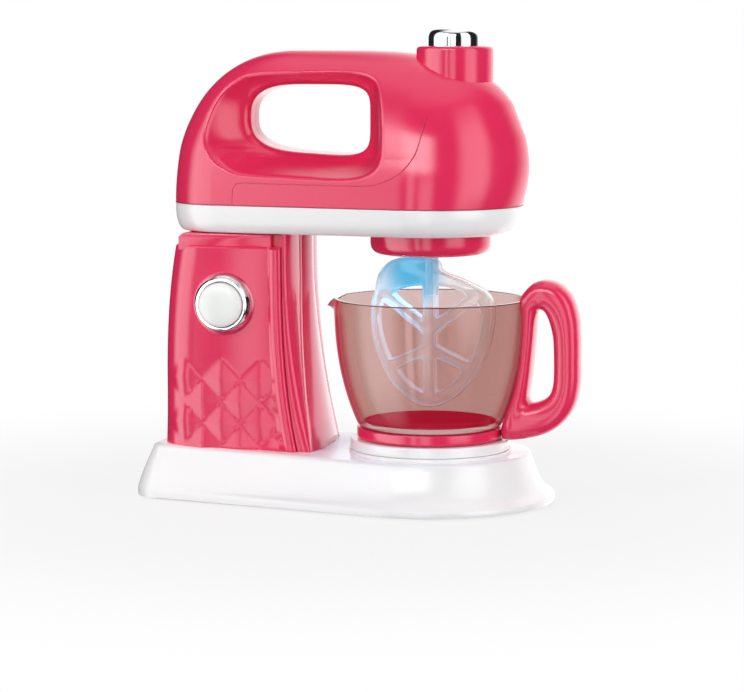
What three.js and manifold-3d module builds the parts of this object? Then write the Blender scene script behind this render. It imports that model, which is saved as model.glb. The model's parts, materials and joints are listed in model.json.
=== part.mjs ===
// A toy stand mixer: a flared white base, a pink column, a tilting head with a grip hole, a clear
// beater driven by a small gear train, and a see-through bowl that stands on a turning seat.
// Millimetres, +Z up. The bowl is towards +X, the side with the power button faces -Y, and the
// origin is under the middle of the base.
import * as THREE from 'three';
import { mergeVertices } from 'three/addons/utils/BufferGeometryUtils.js';
import Module from 'manifold-3d';

const wasm = await Module();
wasm.setup();

// Fits shared by all pieces
const clearance = 0.3;
const seatGap = 0.2;
const overrun = 1;
const weldDistance = 0.0001;
const thinnest = 0.01;
const facetTolerance = 0.04;

// Sides of round pieces
const largeSides = 36;
const roundSides = 24;
const smallSides = 14;
const tinySides = 8;

// Base
const bowlAxisX = 24;
const baseLobeRadius = 42.5;
const baseCornerRadius = 12;
const baseCornerX = -64;
const baseCornerY = 14;
const baseFoot = 0.6;
const baseLipHeight = 3;
const baseTop = 17;
const baseFlare = 8.5;
const baseCornerFlare = 6.4;
const baseWall = 2;
const baseRingRadius = 27.6;
const baseRingHeight = 0.8;
const footRadius = 4;
const footHeight = 1.6;

// Base plate, battery bay and base screws
const plateThickness = 1.8;
const plateMargin = 1;
const bayRearX = -63;
const bayHalfWidth = 13;
const bayWall = 1.2;
const bayHeight = 11.6;
const doorTabLength = 5.5;
const doorTabHalfWidth = 5;
const postRadius = 3.2;
const screwHeadRadius = 2.3;
const screwHeadHeight = 1;
const screwShankRadius = 1.1;
const screwLength = 8;
const basePostFrontX = 46;
const basePostFrontY = 14;
const basePostRearX = -18;
const basePostRearY = 21;
const cellRadius = 5.2;
const cellLength = 42.6;
const cellNubRadius = 1.9;
const cellNubLength = 0.8;
const cellSpacing = 12;
const contactThickness = 0.5;
const contactHeight = 9;
const contactSpringLength = 3.6;
const contactSpringRadius = 3.4;
const contactBumpLength = 3.4;

// Bowl seat
const seatRadius = 27.3;
const seatHeight = 3.4;
const seatPivotRadius = 4;
const seatRetainerRadius = 8;
const seatRetainerThickness = 1.4;

// Column
const columnRearX = -66.8;
const columnFrontX = -18;
const columnHalfWidth = 21;
const columnRearRadius = 12;
const columnFrontRadius = 4.5;
const columnTop = 87;
const columnFlare = 6.5;
const columnRearLean = 3.7;
const columnRearPower = 2.5;
const columnWaistHeight = 38;
const columnWall = 2;
const columnSplitX = -25;
const frontShellInset = 1.2;
const beadWidth = 3.4;
const beadHeight = 0.8;
const neckInset = 1.8;
const columnPostLowHeight = 34;
const columnPostDrop = 9;
const columnScrewLength = 12;
const cableHoleRadius = 2.5;
const columnWireX = -21;
const columnWireY = 9;

// Faceted diamonds on the column sides
const diamondHalfWidth = 6.85;
const diamondHalfHeight = 7.55;
const diamondHeight = 1.1;
const diamondTopRow = 40.4;
const diamondRoot = 0.3;

// Head hinge
const hingeX = -57;
const hingeBarrelRadius = 2.7;
const hingePinRadius = 1.2;
const hingePinLength = 30;
const knuckleHalfWidth = 6;

// Head
const neckHeight = 4.5;
const headTrayBottom = columnTop + neckHeight;
const headTrayHeight = 9.4;
const headFrontRadius = 31.4;
const headRearRadius = 22;
const headRearX = -43.6;
const headTrayInset = 5.2;
const headWall = 2;
const domeHeight = 51.8;
const domeRearCrownX = -21;
const domeFrontCrownX = -9;
const domeRearPower = 2.3;
const domeFrontPower = 3.3;
const domeArchPower = 1.95;
const noseSwellReach = 2.7;
const noseSwellHeight = 17.6;
const noseSwellPower = 3;
const domeStations = 20;
const domeEndShare = 0.12;
const archSteps = 16;
const headScrewFrontX = 44.4;
const headScrewFrontY = 14.3;
const headScrewRearX = -8;
const headScrewRearY = 17;
const headBossHeight = 10;

// Grip hole and the dished recess round it
const gripRearX = -39.2;
const gripFrontX = 5;
const gripRise = 26.8;
const gripHeight = 23;
const gripBottom = headTrayBottom + gripRise;
const gripTop = gripBottom + gripHeight;
const gripHalfDepth = 10.5;
const gripPower = 3.4;
const dishDepth = 16.5;
const dishPower = 1.6;
const dishRearGrowth = 17.6;
const dishFrontGrowth = 4.9;
const dishBottomGrowth = 8;
const dishTopGrowth = 7;

// Top button and its collar
const collarX = 32.2;
const collarRadius = 13;
const collarRise = 62.7;
const collarHeight = 20.6;
const collarTop = headTrayBottom + collarRise;
const collarBottom = collarTop - collarHeight;
const collarFillet = 1.2;
const collarLedge = 5;
const collarChamberRadius = 11;
const collarLipHeight = 1.5;
const topButtonRadius = 9;
const topButtonProud = 5.8;
const topButtonTop = collarTop + topButtonProud;
const topButtonFillet = 3.4;
const topButtonFlange = 10.5;
const topButtonFlangeHeight = 1.6;
const topSwitchThickness = 1.5;
const buttonTravel = 2;
const switchBody = 6;
const switchHeight = 3;
const plungerRadius = 1.6;
const plungerHeight = 2;
const springWire = 0.6;
const springRadius = 5;
const springTurns = 3;

// Power button in the column side
const powerX = -43;
const powerDrop = 19.5;
const powerZ = columnTop - powerDrop;
const ringRadius = 10.9;
const ringProud = 1.6;
const ringSleeveRadius = 9;
const powerButtonRadius = 7.5;
const powerButtonProud = 4.4;
const powerButtonCrown = 2.4;
const powerFlangeRadius = 8.4;
const powerFlangeHeight = 1.2;
const powerSleeveDepth = 3.4;
const boardThickness = 1.5;
const boardHalfLength = 12.5;
const boardDepth = 9.4;

// Gear train and motor
const gearModule = 0.8;
const pinionTeeth = 9;
const wheelTeeth = 27;
const toothTop = 0.55;
const toothRoot = 0.95;
const toothTipShare = 0.13;
const toothRootShare = 0.25;
const meshBacklash = 0.2;
const gearThickness = 2.8;
const driveGearRise = 3.5;
const driveGearBottom = headTrayBottom + driveGearRise;
const idlerAngle = 150;
const motorAngle = -60;
const gearboxThickness = 1.5;
const gearboxMargin = 4;
const motorRadius = 9.8;
const motorHeight = 15.5;
const motorBossRadius = 3;
const motorBossHeight = 1.2;
const shaftRadius = 1.7;
const shaftDrop = 17.5;
const shaftBottom = headTrayBottom - shaftDrop;
const idlerPinRadius = 1;
const bushingRadius = 5;
const bushingHeight = 3.4;

// Hub and lamp
const hubRadius = 20.5;
const hubDrop = 7.2;
const hubBottom = headTrayBottom - hubDrop;
const hubFillet = 3;
const hubWall = 2;
const lampX = 15.3;
const lampRadius = 2.5;
const lampLength = 4.4;
const lampFlange = 3;

// Beater
const beaterThickness = 6;
const beaterRib = 2.8;
const beaterRing = 3.9;
const beaterHalfWidth = 22.5;
const beaterDrop = 12.7;
const beaterTipRise = 14.8;
const beaterTop = headTrayBottom - beaterDrop;
const beaterTip = baseTop + beaterTipRise;
const beaterWindowDrop = 6.2;
const beaterWindowTop = beaterTop - beaterWindowDrop;
const beaterHornHeight = 3;
const beaterHorn = beaterTop + beaterHornHeight;
const beaterHornSide = 12.4;
const beaterHornCorner = 17.1;
const beaterHornRoot = 19.4;
const beaterHubHeight = (beaterTip + beaterTop) / 2;
const stemRadius = 2.75;
const stemRise = 3.7;
const stemTop = hubBottom + stemRise;

// Bowl
const bowlFootRadius = 25;
const bowlFootHeight = 3.7;
const bowlBottomRadius = 24.5;
const bowlRimRadius = 32.85;
const bowlHeight = 43.6;
const bowlWall = 1.6;
const bowlFloor = 1.6;
const bowlBelly = 0.42;
const spoutReach = 3.2;
const spoutHalfWidth = 6;
const spoutDrop = 6.5;
const bowlLift = 4.5;

// Bowl handle
const handleReach = 51.9;
const handleTop = 76.4;
const handleThickness = 14;
const handleBevel = 2.6;
const handleHoleRear = 35.6;
const handleHoleLean = 2.3;
const handleHoleFront = 44.4;
const handleHoleBottom = 34;
const handleHoleTop = 67;

// Colours and finishes
const pinkPlastic = { color: 0xe83a64, roughness: 0.22, metalness: 0 };
const whitePlastic = { color: 0xf4f4f4, roughness: 0.25, metalness: 0 };
const chrome = { color: 0xdedede, roughness: 0.08, metalness: 1 };
const steel = { color: 0xb8b8bc, roughness: 0.35, metalness: 1 };
const clearPlastic = { color: 0xf2eeee, roughness: 0.12, metalness: 0, transparent: true, opacity: 0.5 };
const smokePlastic = { color: 0xc9a09a, roughness: 0.08, metalness: 0, transparent: true, opacity: 0.45 };
const milkyPlastic = { color: 0xf6f6f6, roughness: 0.35, metalness: 0 };
const rubber = { color: 0xd8d8d8, roughness: 0.8, metalness: 0 };
const gearPlastic = { color: 0xf0ead8, roughness: 0.45, metalness: 0 };
const boardGreen = { color: 0x2f7a4a, roughness: 0.5, metalness: 0 };
const darkPlastic = { color: 0x222226, roughness: 0.5, metalness: 0 };
const cellWrap = { color: 0x3a6fb5, roughness: 0.4, metalness: 0.2 };
const wireRed = { color: 0xb02828, roughness: 0.5, metalness: 0 };
const lampBlue = { color: 0x58c8f4, roughness: 0.1, metalness: 0 };

// Longer than the whole part, for cuts that pass right through
const far = headTrayBottom + headTrayHeight + domeHeight + baseLobeRadius;

const model = new THREE.Group();
const fullTurn = 2 * Math.PI;
const toRadians = Math.PI / 180;

// Solids from three.js geometry

function solidOf(geometry) {
  const bare = new THREE.BufferGeometry();
  bare.setAttribute('position', geometry.attributes.position);
  bare.setIndex(geometry.index);
  const merged = mergeVertices(bare, weldDistance);
  const points = merged.attributes.position.array;
  const corners = merged.index.array;
  const kept = [];
  let volume = 0;
  const at = (index) => new THREE.Vector3().fromArray(points, index * 3);
  for (let i = 0; i < corners.length; i += 3) {
    const [a, b, c] = [corners[i], corners[i + 1], corners[i + 2]];
    if (a !== b && b !== c && c !== a) {
      kept.push([a, b, c]);
      volume += at(a).dot(at(b).cross(at(c)));
    }
  }
  const faces = volume < 0 ? kept.map(([a, b, c]) => [a, c, b]) : kept;
  return new wasm.Manifold(new wasm.Mesh({
    numProp: 3,
    vertProperties: new Float32Array(points),
    triVerts: new Uint32Array(faces.flat()),
  }));
}

function geometryOf(solid) {
  const mesh = solid.getMesh();
  const geometry = new THREE.BufferGeometry();
  geometry.setAttribute('position', new THREE.BufferAttribute(mesh.vertProperties, mesh.numProp));
  geometry.setIndex(new THREE.BufferAttribute(mesh.triVerts, 1));
  geometry.computeVertexNormals();
  return geometry;
}

function addPiece(name, shape, finish) {
  const solid = shape.isBufferGeometry ? solidOf(shape) : shape;
  const geometry = geometryOf(solid.simplify(facetTolerance));
  const mesh = new THREE.Mesh(geometry, new THREE.MeshStandardMaterial(finish));
  mesh.name = name;
  model.add(mesh);
  return mesh;
}

function join(first, ...others) {
  return others.reduce((whole, other) => whole.add(other), first);
}

function cut(first, ...tools) {
  return tools.reduce((whole, tool) => whole.subtract(tool), first);
}

// A block between two corners
function block(lowX, highX, lowY, highY, lowZ, highZ) {
  const geometry = new THREE.BoxGeometry(highX - lowX, highY - lowY, highZ - lowZ);
  geometry.translate((lowX + highX) / 2, (lowY + highY) / 2, (lowZ + highZ) / 2);
  return solidOf(geometry);
}

// A turned piece on an upright axis: the profile is a list of [radius, height]
function turned(profile, x, y, sides = roundSides) {
  const geometry = new THREE.LatheGeometry(profile.map(([r, z]) => new THREE.Vector2(r, z)), sides);
  geometry.rotateX(Math.PI / 2);
  geometry.translate(x, y, 0);
  return solidOf(geometry);
}

function drum(radius, lowZ, highZ, x, y, sides = roundSides) {
  return turned([[0, lowZ], [radius, lowZ], [radius, highZ], [0, highZ]], x, y, sides);
}

// A turned piece on an axis along Y: the profile is a list of [radius, y]
function turnedAlongY(profile, x, z, sides = roundSides) {
  const geometry = new THREE.LatheGeometry(profile.map(([r, y]) => new THREE.Vector2(r, y)), sides);
  geometry.translate(x, 0, z);
  return solidOf(geometry);
}

// A turned piece on an axis along X: the profile is a list of [radius, x]
function turnedAlongX(profile, y, z, sides = smallSides) {
  const geometry = new THREE.LatheGeometry(profile.map(([r, x]) => new THREE.Vector2(r, x)), sides);
  geometry.rotateZ(-Math.PI / 2);
  geometry.translate(0, y, z);
  return solidOf(geometry);
}

// A skin over closed rings of the same number of points, with a fan at each end
function loft(rings) {
  const count = rings[0].length;
  const points = rings.flat(2);
  const middle = (ring) => [0, 1, 2].map((axis) => (
    ring.reduce((sum, point) => sum + point[axis], 0) / count
  ));
  points.push(...middle(rings[0]), ...middle(rings[rings.length - 1]));
  const firstMiddle = rings.length * count;
  const lastMiddle = firstMiddle + 1;
  const lastRing = firstMiddle - count;
  const faces = [];
  for (let i = 0; i < count; i += 1) {
    const next = (i + 1) % count;
    faces.push(firstMiddle, next, i, lastMiddle, lastRing + i, lastRing + next);
    for (let level = 0; level < rings.length - 1; level += 1) {
      const low = level * count;
      const high = low + count;
      faces.push(low + i, low + next, high + next, low + i, high + next, high + i);
    }
  }
  const geometry = new THREE.BufferGeometry();
  geometry.setAttribute('position', new THREE.Float32BufferAttribute(points, 3));
  geometry.setIndex(faces);
  return solidOf(geometry);
}

// The outline round a set of circles [x, y, radius], as a level ring
function ringRound(circles, z, count = largeSides) {
  const ring = [];
  for (let step = 0; step < count; step += 1) {
    const angle = (fullTurn * step) / count;
    const outX = Math.cos(angle);
    const outY = Math.sin(angle);
    const reach = circles.map(([x, y, r]) => x * outX + y * outY + r);
    const [x, y, r] = circles[reach.indexOf(Math.max(...reach))];
    ring.push([x + r * outX, y + r * outY, z]);
  }
  return ring;
}

class Helix extends THREE.Curve {
  constructor(radius, height, turns) {
    super();
    this.radius = radius;
    this.height = height;
    this.turns = turns;
  }

  getPoint(t, target = new THREE.Vector3()) {
    const angle = fullTurn * this.turns * t;
    return target.set(this.radius * Math.cos(angle), this.radius * Math.sin(angle), this.height * t);
  }
}

// A round wire along a curve, as a geometry
function wire(curve, radius, steps, sides = wireSides) {
  const section = new THREE.Shape();
  for (let side = 0; side < sides; side += 1) {
    const angle = (fullTurn * side) / sides;
    const [u, v] = [radius * Math.cos(angle), radius * Math.sin(angle)];
    if (side === 0) section.moveTo(u, v);
    else section.lineTo(u, v);
  }
  return new THREE.ExtrudeGeometry(section, { steps, bevelEnabled: false, extrudePath: curve });
}

function coil(radius, length) {
  const helix = new Helix(radius, length - springWire, springTurns);
  const geometry = wire(helix, springWire / 2, springSteps * springTurns, springSides);
  geometry.translate(0, 0, springWire / 2);
  return geometry;
}

// A slotted screw that points up, with its head's face at height zero
function screwShape(length, headRadius = screwHeadRadius) {
  const profile = [
    [0, 0], [headRadius, 0], [headRadius, screwHeadHeight],
    [screwShankRadius, screwHeadHeight], [screwShankRadius, length], [0, length],
  ].map(([r, z]) => new THREE.Vector2(r, z));
  const geometry = new THREE.LatheGeometry(profile, tinySides);
  geometry.rotateX(Math.PI / 2);
  const slotHalf = headRadius / 6;
  const slot = block(-headRadius * 2, headRadius * 2, -slotHalf, slotHalf, -overrun, screwHeadHeight / 2);
  return geometryOf(cut(solidOf(geometry), slot));
}

// Base: the flared shell, its plate, the battery bay and the feet

function baseRing(inset, z, count = largeSides) {
  const cornerInset = (inset * baseCornerFlare) / baseFlare;
  const corner = baseCornerRadius - cornerInset;
  return ringRound([
    [bowlAxisX, 0, baseLobeRadius - inset],
    [baseCornerX, baseCornerY, corner],
    [baseCornerX, -baseCornerY, corner],
  ], z, count);
}

const basePosts = [
  [basePostFrontX, basePostFrontY], [basePostFrontX, -basePostFrontY],
  [basePostRearX, basePostRearY], [basePostRearX, -basePostRearY],
];
const plateBottom = baseFoot + clearance;
const plateTop = plateBottom + plateThickness;
const baseRoof = baseTop - baseWall;
const lipRound = baseLipHeight / 6;
const flareShares = [0, 0.12, 0.4, 0.9];
const hollowFlareShares = [0.12, 0.9];
const springSteps = 8;
const springSides = 5;
const wireSides = 6;

function baseBody(inset, bottom, top, shares, count) {
  const flareBottom = baseLipHeight;
  const rings = [baseRing(inset, bottom, count), baseRing(inset, flareBottom - lipRound, count)];
  for (const share of shares) {
    const z = flareBottom + (top - flareBottom) * share;
    rings.push(baseRing(inset + lipRound + (baseFlare - lipRound) * Math.sqrt(share), z, count));
  }
  rings.push(baseRing(inset + baseFlare + lipRound * 2, top, count));
  return loft(rings);
}

const screwHole = (x, y, lowZ, highZ, radius) => drum(radius, lowZ, highZ, x, y, tinySides);
const pivotHoleRadius = seatPivotRadius + clearance;
const baseRingTop = baseTop + baseRingHeight;

function makeBaseShell() {
  let shell = baseBody(0, baseFoot, baseTop, flareShares, largeSides);
  shell = cut(shell, baseBody(baseWall, -overrun, baseRoof, hollowFlareShares, roundSides));
  shell = join(shell, drum(baseRingRadius, baseRoof + baseWall / 2, baseRingTop, bowlAxisX, 0, largeSides));
  for (const [x, y] of basePosts) {
    shell = join(shell, drum(postRadius, plateTop + clearance, baseRoof + baseWall / 2, x, y, smallSides));
    shell = cut(shell, screwHole(x, y, 0, plateTop + screwLength, screwShankRadius + clearance));
  }
  shell = cut(shell, drum(pivotHoleRadius, 0, baseRingTop + overrun, bowlAxisX, 0));
  const wireHole = drum(cableHoleRadius, 0, baseTop + overrun, columnWireX, columnWireY, smallSides);
  return cut(shell, wireHole);
}

const bayTop = plateTop + bayHeight;
const rearContactX = bayRearX + clearance;
const cellRearX = rearContactX + contactThickness + contactSpringLength + clearance;
const cellFrontX = cellRearX + cellLength + cellNubLength;
const frontContactX = cellFrontX + clearance + contactBumpLength + contactThickness;
const bayFrontX = frontContactX + clearance;
const doorScrewX = bayFrontX + doorTabLength / 2;

function makeBasePlate() {
  const inset = baseWall + plateMargin;
  let plate = loft([plateBottom, plateTop].map((z) => baseRing(inset, z, roundSides)));
  const outer = bayHalfWidth + bayWall;
  plate = join(
    plate,
    block(bayRearX - bayWall, bayFrontX + bayWall, -outer, outer, plateBottom, bayTop),
    block(bayFrontX, bayFrontX + doorTabLength + bayWall, -doorTabHalfWidth, doorTabHalfWidth,
      plateBottom, bayTop),
  );
  const doorTabX = bayFrontX + doorTabLength;
  plate = cut(
    plate,
    block(bayRearX, bayFrontX, -bayHalfWidth, bayHalfWidth, 0, bayTop + overrun),
    block(bayFrontX - overrun, doorTabX, -doorTabHalfWidth + bayWall, doorTabHalfWidth - bayWall, 0,
      plateTop),
    screwHole(doorScrewX, 0, 0, plateTop + screwLength, screwShankRadius + clearance),
  );
  for (const [x, y] of basePosts) {
    plate = cut(
      plate,
      screwHole(x, y, 0, plateTop + overrun, screwShankRadius + clearance),
      screwHole(x, y, 0, plateBottom + screwHeadHeight + clearance, screwHeadRadius + clearance),
    );
  }
  for (const [x, y] of footPlaces) {
    plate = cut(plate, drum(footRadius + seatGap, 0, footHeight + seatGap, x, y, smallSides));
  }
  return plate;
}

const footMargin = baseWall + footRadius + clearance * 4;
const footFrontReach = (baseLobeRadius - footMargin) * Math.SQRT1_2;
const footPlaces = [
  [bowlAxisX + footFrontReach, footFrontReach], [bowlAxisX + footFrontReach, -footFrontReach],
  [baseCornerX, baseCornerY + footRadius], [baseCornerX, -baseCornerY - footRadius],
];

function makeBatteryDoor() {
  const low = plateBottom;
  const high = plateTop - clearance;
  const half = bayHalfWidth - clearance;
  const tabHalf = doorTabHalfWidth - bayWall - clearance;
  const door = join(
    block(bayRearX + clearance, bayFrontX - clearance, -half, half, low, high),
    block(bayFrontX - overrun, bayFrontX + doorTabLength - clearance, -tabHalf, tabHalf, low, high),
  );
  return cut(
    door,
    screwHole(doorScrewX, 0, 0, high + overrun, screwShankRadius + clearance),
    screwHole(doorScrewX, 0, 0, low + screwHeadHeight + clearance, screwHeadRadius + clearance),
  );
}

addPiece('base_shell', makeBaseShell(), whitePlastic);
addPiece('base_plate', makeBasePlate(), whitePlastic);
addPiece('battery_door', makeBatteryDoor(), whitePlastic);

function addScrew(name, x, y, z, length) {
  const mesh = addPiece(name, screwShape(length), steel);
  mesh.position.set(x, y, z);
  return mesh;
}

const screwBottom = plateBottom + clearance / 2;
addScrew('battery_door_screw', doorScrewX, 0, screwBottom, screwLength);
basePosts.forEach(([x, y], index) => {
  addScrew(`base_screw_${index + 1}`, x, y, screwBottom, screwLength);
});
footPlaces.forEach(([x, y], index) => {
  const foot = drum(footRadius, 0, footHeight, x, y, smallSides);
  addPiece(`foot_${index + 1}`, foot, rubber);
});

// Batteries and their contacts

const cellZ = plateTop + cellRadius + clearance;
for (const side of [-1, 1]) {
  const y = (side * cellSpacing) / 2;
  const end = cellRearX + cellLength;
  const profile = [
    [0, cellRearX], [cellRadius, cellRearX], [cellRadius, end],
    [cellNubRadius, end], [cellNubRadius, end + cellNubLength], [0, end + cellNubLength],
  ];
  addPiece(side < 0 ? 'battery_cell_1' : 'battery_cell_2', turnedAlongX(profile, y, cellZ), cellWrap);
}

function makeContact(wallX, towards, reach, bumpRadius) {
  const half = bayHalfWidth - clearance;
  const low = plateTop + clearance;
  const inner = wallX + towards * contactThickness;
  let plate = block(Math.min(wallX, inner), Math.max(wallX, inner), -half, half, low, low + contactHeight);
  for (const side of [-1, 1]) {
    const tip = inner + towards * reach;
    const profile = [[0, wallX], [bumpRadius, wallX], [bumpRadius, inner], [bumpRadius / 2, tip], [0, tip]];
    plate = join(plate, turnedAlongX(profile, (side * cellSpacing) / 2, cellZ, smallSides));
  }
  return plate;
}

addPiece('contact_rear', makeContact(rearContactX, 1, contactSpringLength, contactSpringRadius), steel);
addPiece('contact_front', makeContact(frontContactX, -1, contactBumpLength, cellNubRadius), steel);

// Bowl seat that turns on the base

const seatBottom = baseRingTop + clearance;
const seatTop = seatBottom + seatHeight;
const retainerTop = baseRoof - clearance;
const retainerBottom = retainerTop - seatRetainerThickness;

function makeBowlSeat() {
  const seat = turned([
    [0, seatBottom], [seatRadius, seatBottom], [seatRadius, seatTop - seatHeight / 5],
    [seatRadius - seatHeight / 5, seatTop], [0, seatTop],
  ], bowlAxisX, 0, largeSides);
  const pivotBottom = retainerTop + seatGap;
  const pivot = drum(seatPivotRadius, pivotBottom, seatBottom + seatHeight / 2, bowlAxisX, 0, smallSides);
  const hole = drum(screwShankRadius + clearance, 0, seatBottom + seatHeight / 2, bowlAxisX, 0, tinySides);
  return cut(join(seat, pivot), hole);
}

function makeSeatRetainer() {
  const disc = drum(seatRetainerRadius, retainerBottom, retainerTop, bowlAxisX, 0, largeSides);
  return cut(disc, drum(screwShankRadius + clearance, 0, seatTop, bowlAxisX, 0, tinySides));
}

addPiece('bowl_seat', makeBowlSeat(), whitePlastic);
addPiece('seat_retainer', makeSeatRetainer(), whitePlastic);
addScrew('seat_screw', bowlAxisX, 0, retainerBottom - screwHeadHeight - seatGap / 2,
  seatTop - seatHeight / 2 - retainerBottom);

// Column: the outline at a height, and how it leans at the front and the rear

const columnBottom = baseTop + seatGap;
const neckTop = headTrayBottom - clearance;
const hingeZ = headTrayBottom - clearance - hingeBarrelRadius;

function columnFrontAt(z) {
  const down = Math.max(0, columnTop - z) / (columnTop - columnBottom);
  return columnFrontX + columnFlare * down * down;
}

function columnRearAt(z) {
  const up = (z - columnWaistHeight) / (columnTop - columnWaistHeight);
  return columnRearX + columnRearLean * Math.sign(up) * Math.abs(up) ** columnRearPower;
}

function columnRing(inset, z, count) {
  const rear = columnRearAt(Math.min(z, columnTop));
  const front = columnFrontAt(z);
  const rearRound = columnRearRadius - inset;
  const frontRound = Math.max(columnFrontRadius - inset, columnFrontRadius / 4);
  const rearX = rear + columnRearRadius;
  const frontX = front - inset - frontRound;
  const rearY = columnHalfWidth - columnRearRadius;
  const frontY = columnHalfWidth - inset - frontRound;
  return ringRound([
    [rearX, rearY, rearRound], [rearX, -rearY, rearRound],
    [frontX, frontY, frontRound], [frontX, -frontY, frontRound],
  ], z, count);
}

const columnShares = [0, 0.2, 0.44, 0.72, 1];

function columnBody(inset, bottom, top, count = roundSides) {
  return loft(columnShares.map((share) => columnRing(inset, bottom + (top - bottom) * share, count)));
}

const frontHalfSpace = block(columnSplitX, far, -far, far, -far, far);
const rearHalfSpace = block(-far, columnSplitX - seatGap, -far, far, -far, far);

// A four-sided pyramid on a side of the column, standing out of its face
function diamond(x, y, z, angle) {
  const geometry = new THREE.ConeGeometry(1, 1, 4, 1);
  const tall = diamondHeight + diamondRoot;
  const spread = tall / diamondHeight;
  geometry.scale(diamondHalfWidth * spread, tall, diamondHalfHeight * spread);
  geometry.translate(0, tall / 2 - diamondRoot, 0);
  geometry.rotateZ(angle);
  geometry.translate(x, y, z);
  return solidOf(geometry);
}

const diamondPlaces = [];
const diamondFirstX = columnSplitX - beadWidth - diamondHalfWidth / 4;
for (let row = 0; row < 4; row += 1) {
  for (let place = row % 2; place < 5; place += 2) {
    diamondPlaces.push([diamondFirstX - diamondHalfWidth * place, diamondTopRow - diamondHalfHeight * row]);
  }
}

function diamondsOn(side) {
  const cornerX = columnRearX + columnRearRadius;
  const cornerY = columnHalfWidth - columnRearRadius;
  const trim = block(-far, columnSplitX - beadWidth, -far, far, columnBottom, far);
  return diamondPlaces.map(([x, z]) => {
    const round = Math.max(0, cornerX - x) / columnRearRadius;
    const outX = cornerX - columnRearRadius * Math.sin(round);
    const outY = cornerY + columnRearRadius * Math.cos(round);
    const turn = side > 0 ? round : Math.PI - round;
    return diamond(round > 0 ? outX : x, side * outY, z, turn).intersect(trim);
  });
}

function beadOn(side) {
  const low = side > 0 ? columnHalfWidth - columnWall / 2 : -columnHalfWidth - beadHeight;
  const high = low + columnWall / 2 + beadHeight;
  const split = columnSplitX - seatGap;
  return block(split - beadWidth, split, low, high, columnBottom, columnTop);
}

const columnPosts = [columnPostLowHeight, columnTop - columnPostDrop];
const powerFaceY = -columnHalfWidth;
const boardFront = powerFaceY + columnHalfWidth - boardDepth;
const boardPinReach = boardHalfLength - columnWall * 1.25;
const boardPins = [
  [powerX - boardPinReach, powerZ + boardPinReach],
  [powerX + boardPinReach, powerZ - boardPinReach],
];

function makeColumnRearShell() {
  const neck = block(-far, columnSplitX - seatGap, -far, far, columnTop - columnWall, neckTop)
    .intersect(columnBody(neckInset, columnTop - columnWall, neckTop));
  const barrel = turnedAlongY([
    [0, -far], [hingeBarrelRadius, -far], [hingeBarrelRadius, far], [0, far],
  ], hingeX, hingeZ, smallSides);
  const behindHinge = block(-far, hingeX, -far, far, columnTop + seatGap, far);
  const barrelPart = barrel.intersect(columnBody(neckInset, columnTop - columnWall, neckTop + overrun));
  let shell = columnBody(0, columnBottom, columnTop).intersect(rearHalfSpace);
  shell = cut(shell, columnBody(columnWall, columnBottom - overrun, columnTop - columnWall, smallSides));
  shell = join(shell, ...diamondsOn(-1), ...diamondsOn(1), beadOn(-1), beadOn(1));
  shell = join(shell, join(cut(neck, behindHinge), barrelPart));
  for (const [x, z] of boardPins) {
    shell = join(shell, turnedAlongY([
      [0, powerFaceY + columnWall / 2], [columnWall, powerFaceY + columnWall / 2],
      [columnWall, boardFront - seatGap], [0, boardFront - seatGap],
    ], x, z, tinySides));
  }
  const hole = ringSleeveRadius + clearance;
  const powerHole = turnedAlongY([
    [0, powerFaceY - overrun], [hole, powerFaceY - overrun],
    [hole, powerFaceY + columnWall + overrun], [0, powerFaceY + columnWall + overrun],
  ], powerX, powerZ);
  const pinReach = hingePinLength / 2 + clearance;
  const pinHole = turnedAlongY([
    [0, -pinReach], [hingePinRadius + seatGap, -pinReach],
    [hingePinRadius + seatGap, pinReach], [0, pinReach],
  ], hingeX, hingeZ, smallSides);
  const slotHalf = knuckleHalfWidth + clearance;
  const slotReach = hingeBarrelRadius + clearance * 3;
  const slot = block(-far, hingeX + slotReach, -slotHalf, slotHalf, hingeZ - slotReach, far);
  shell = cut(shell, powerHole, pinHole, slot);
  for (const z of columnPosts) {
    const rear = columnRearAt(z) - overrun;
    const pocket = turnedAlongX([
      [0, rear], [screwHeadRadius + clearance, rear],
      [screwHeadRadius + clearance, columnRearX + columnWall * 3 - screwHeadHeight],
      [screwShankRadius + clearance, columnRearX + columnWall * 3 - screwHeadHeight],
      [screwShankRadius + clearance, columnRearX + far / 2], [0, columnRearX + far / 2],
    ], 0, z, tinySides);
    const tower = turnedAlongX([
      [0, columnRearX + columnWall], [postRadius + columnWall / 2, columnRearX + columnWall],
      [postRadius + columnWall / 2, columnRearX + columnWall * 4], [0, columnRearX + columnWall * 4],
    ], 0, z, smallSides);
    shell = cut(join(shell, tower), pocket.intersect(block(-far, columnSplitX - columnWall * 2,
      -far, far, z - postRadius, z + postRadius)));
  }
  return cut(shell, drum(cableHoleRadius, columnTop - columnWall - overrun, neckTop + overrun,
    columnCableX, 0, smallSides));
}

const columnCableX = columnSplitX - columnFlare;

function makeColumnFrontShell() {
  const body = columnBody(frontShellInset, columnBottom, neckTop).intersect(frontHalfSpace);
  const inset = frontShellInset + columnWall;
  const hollow = columnBody(inset, columnBottom - overrun, neckTop - columnWall, smallSides);
  let shell = cut(body, hollow);
  for (const z of columnPosts) {
    const start = columnRearX + columnWall * 4 + seatGap;
    const end = columnFrontAt(z) - frontShellInset - columnWall / 2;
    const post = turnedAlongX([
      [0, start], [postRadius, start], [postRadius, end], [0, end],
    ], 0, z, smallSides);
    const bore = turnedAlongX([
      [0, start - overrun], [screwShankRadius + clearance, start - overrun],
      [screwShankRadius + clearance, start + columnScrewLength], [0, start + columnScrewLength],
    ], 0, z, tinySides);
    shell = cut(join(shell, post), bore);
  }
  return shell;
}

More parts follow.
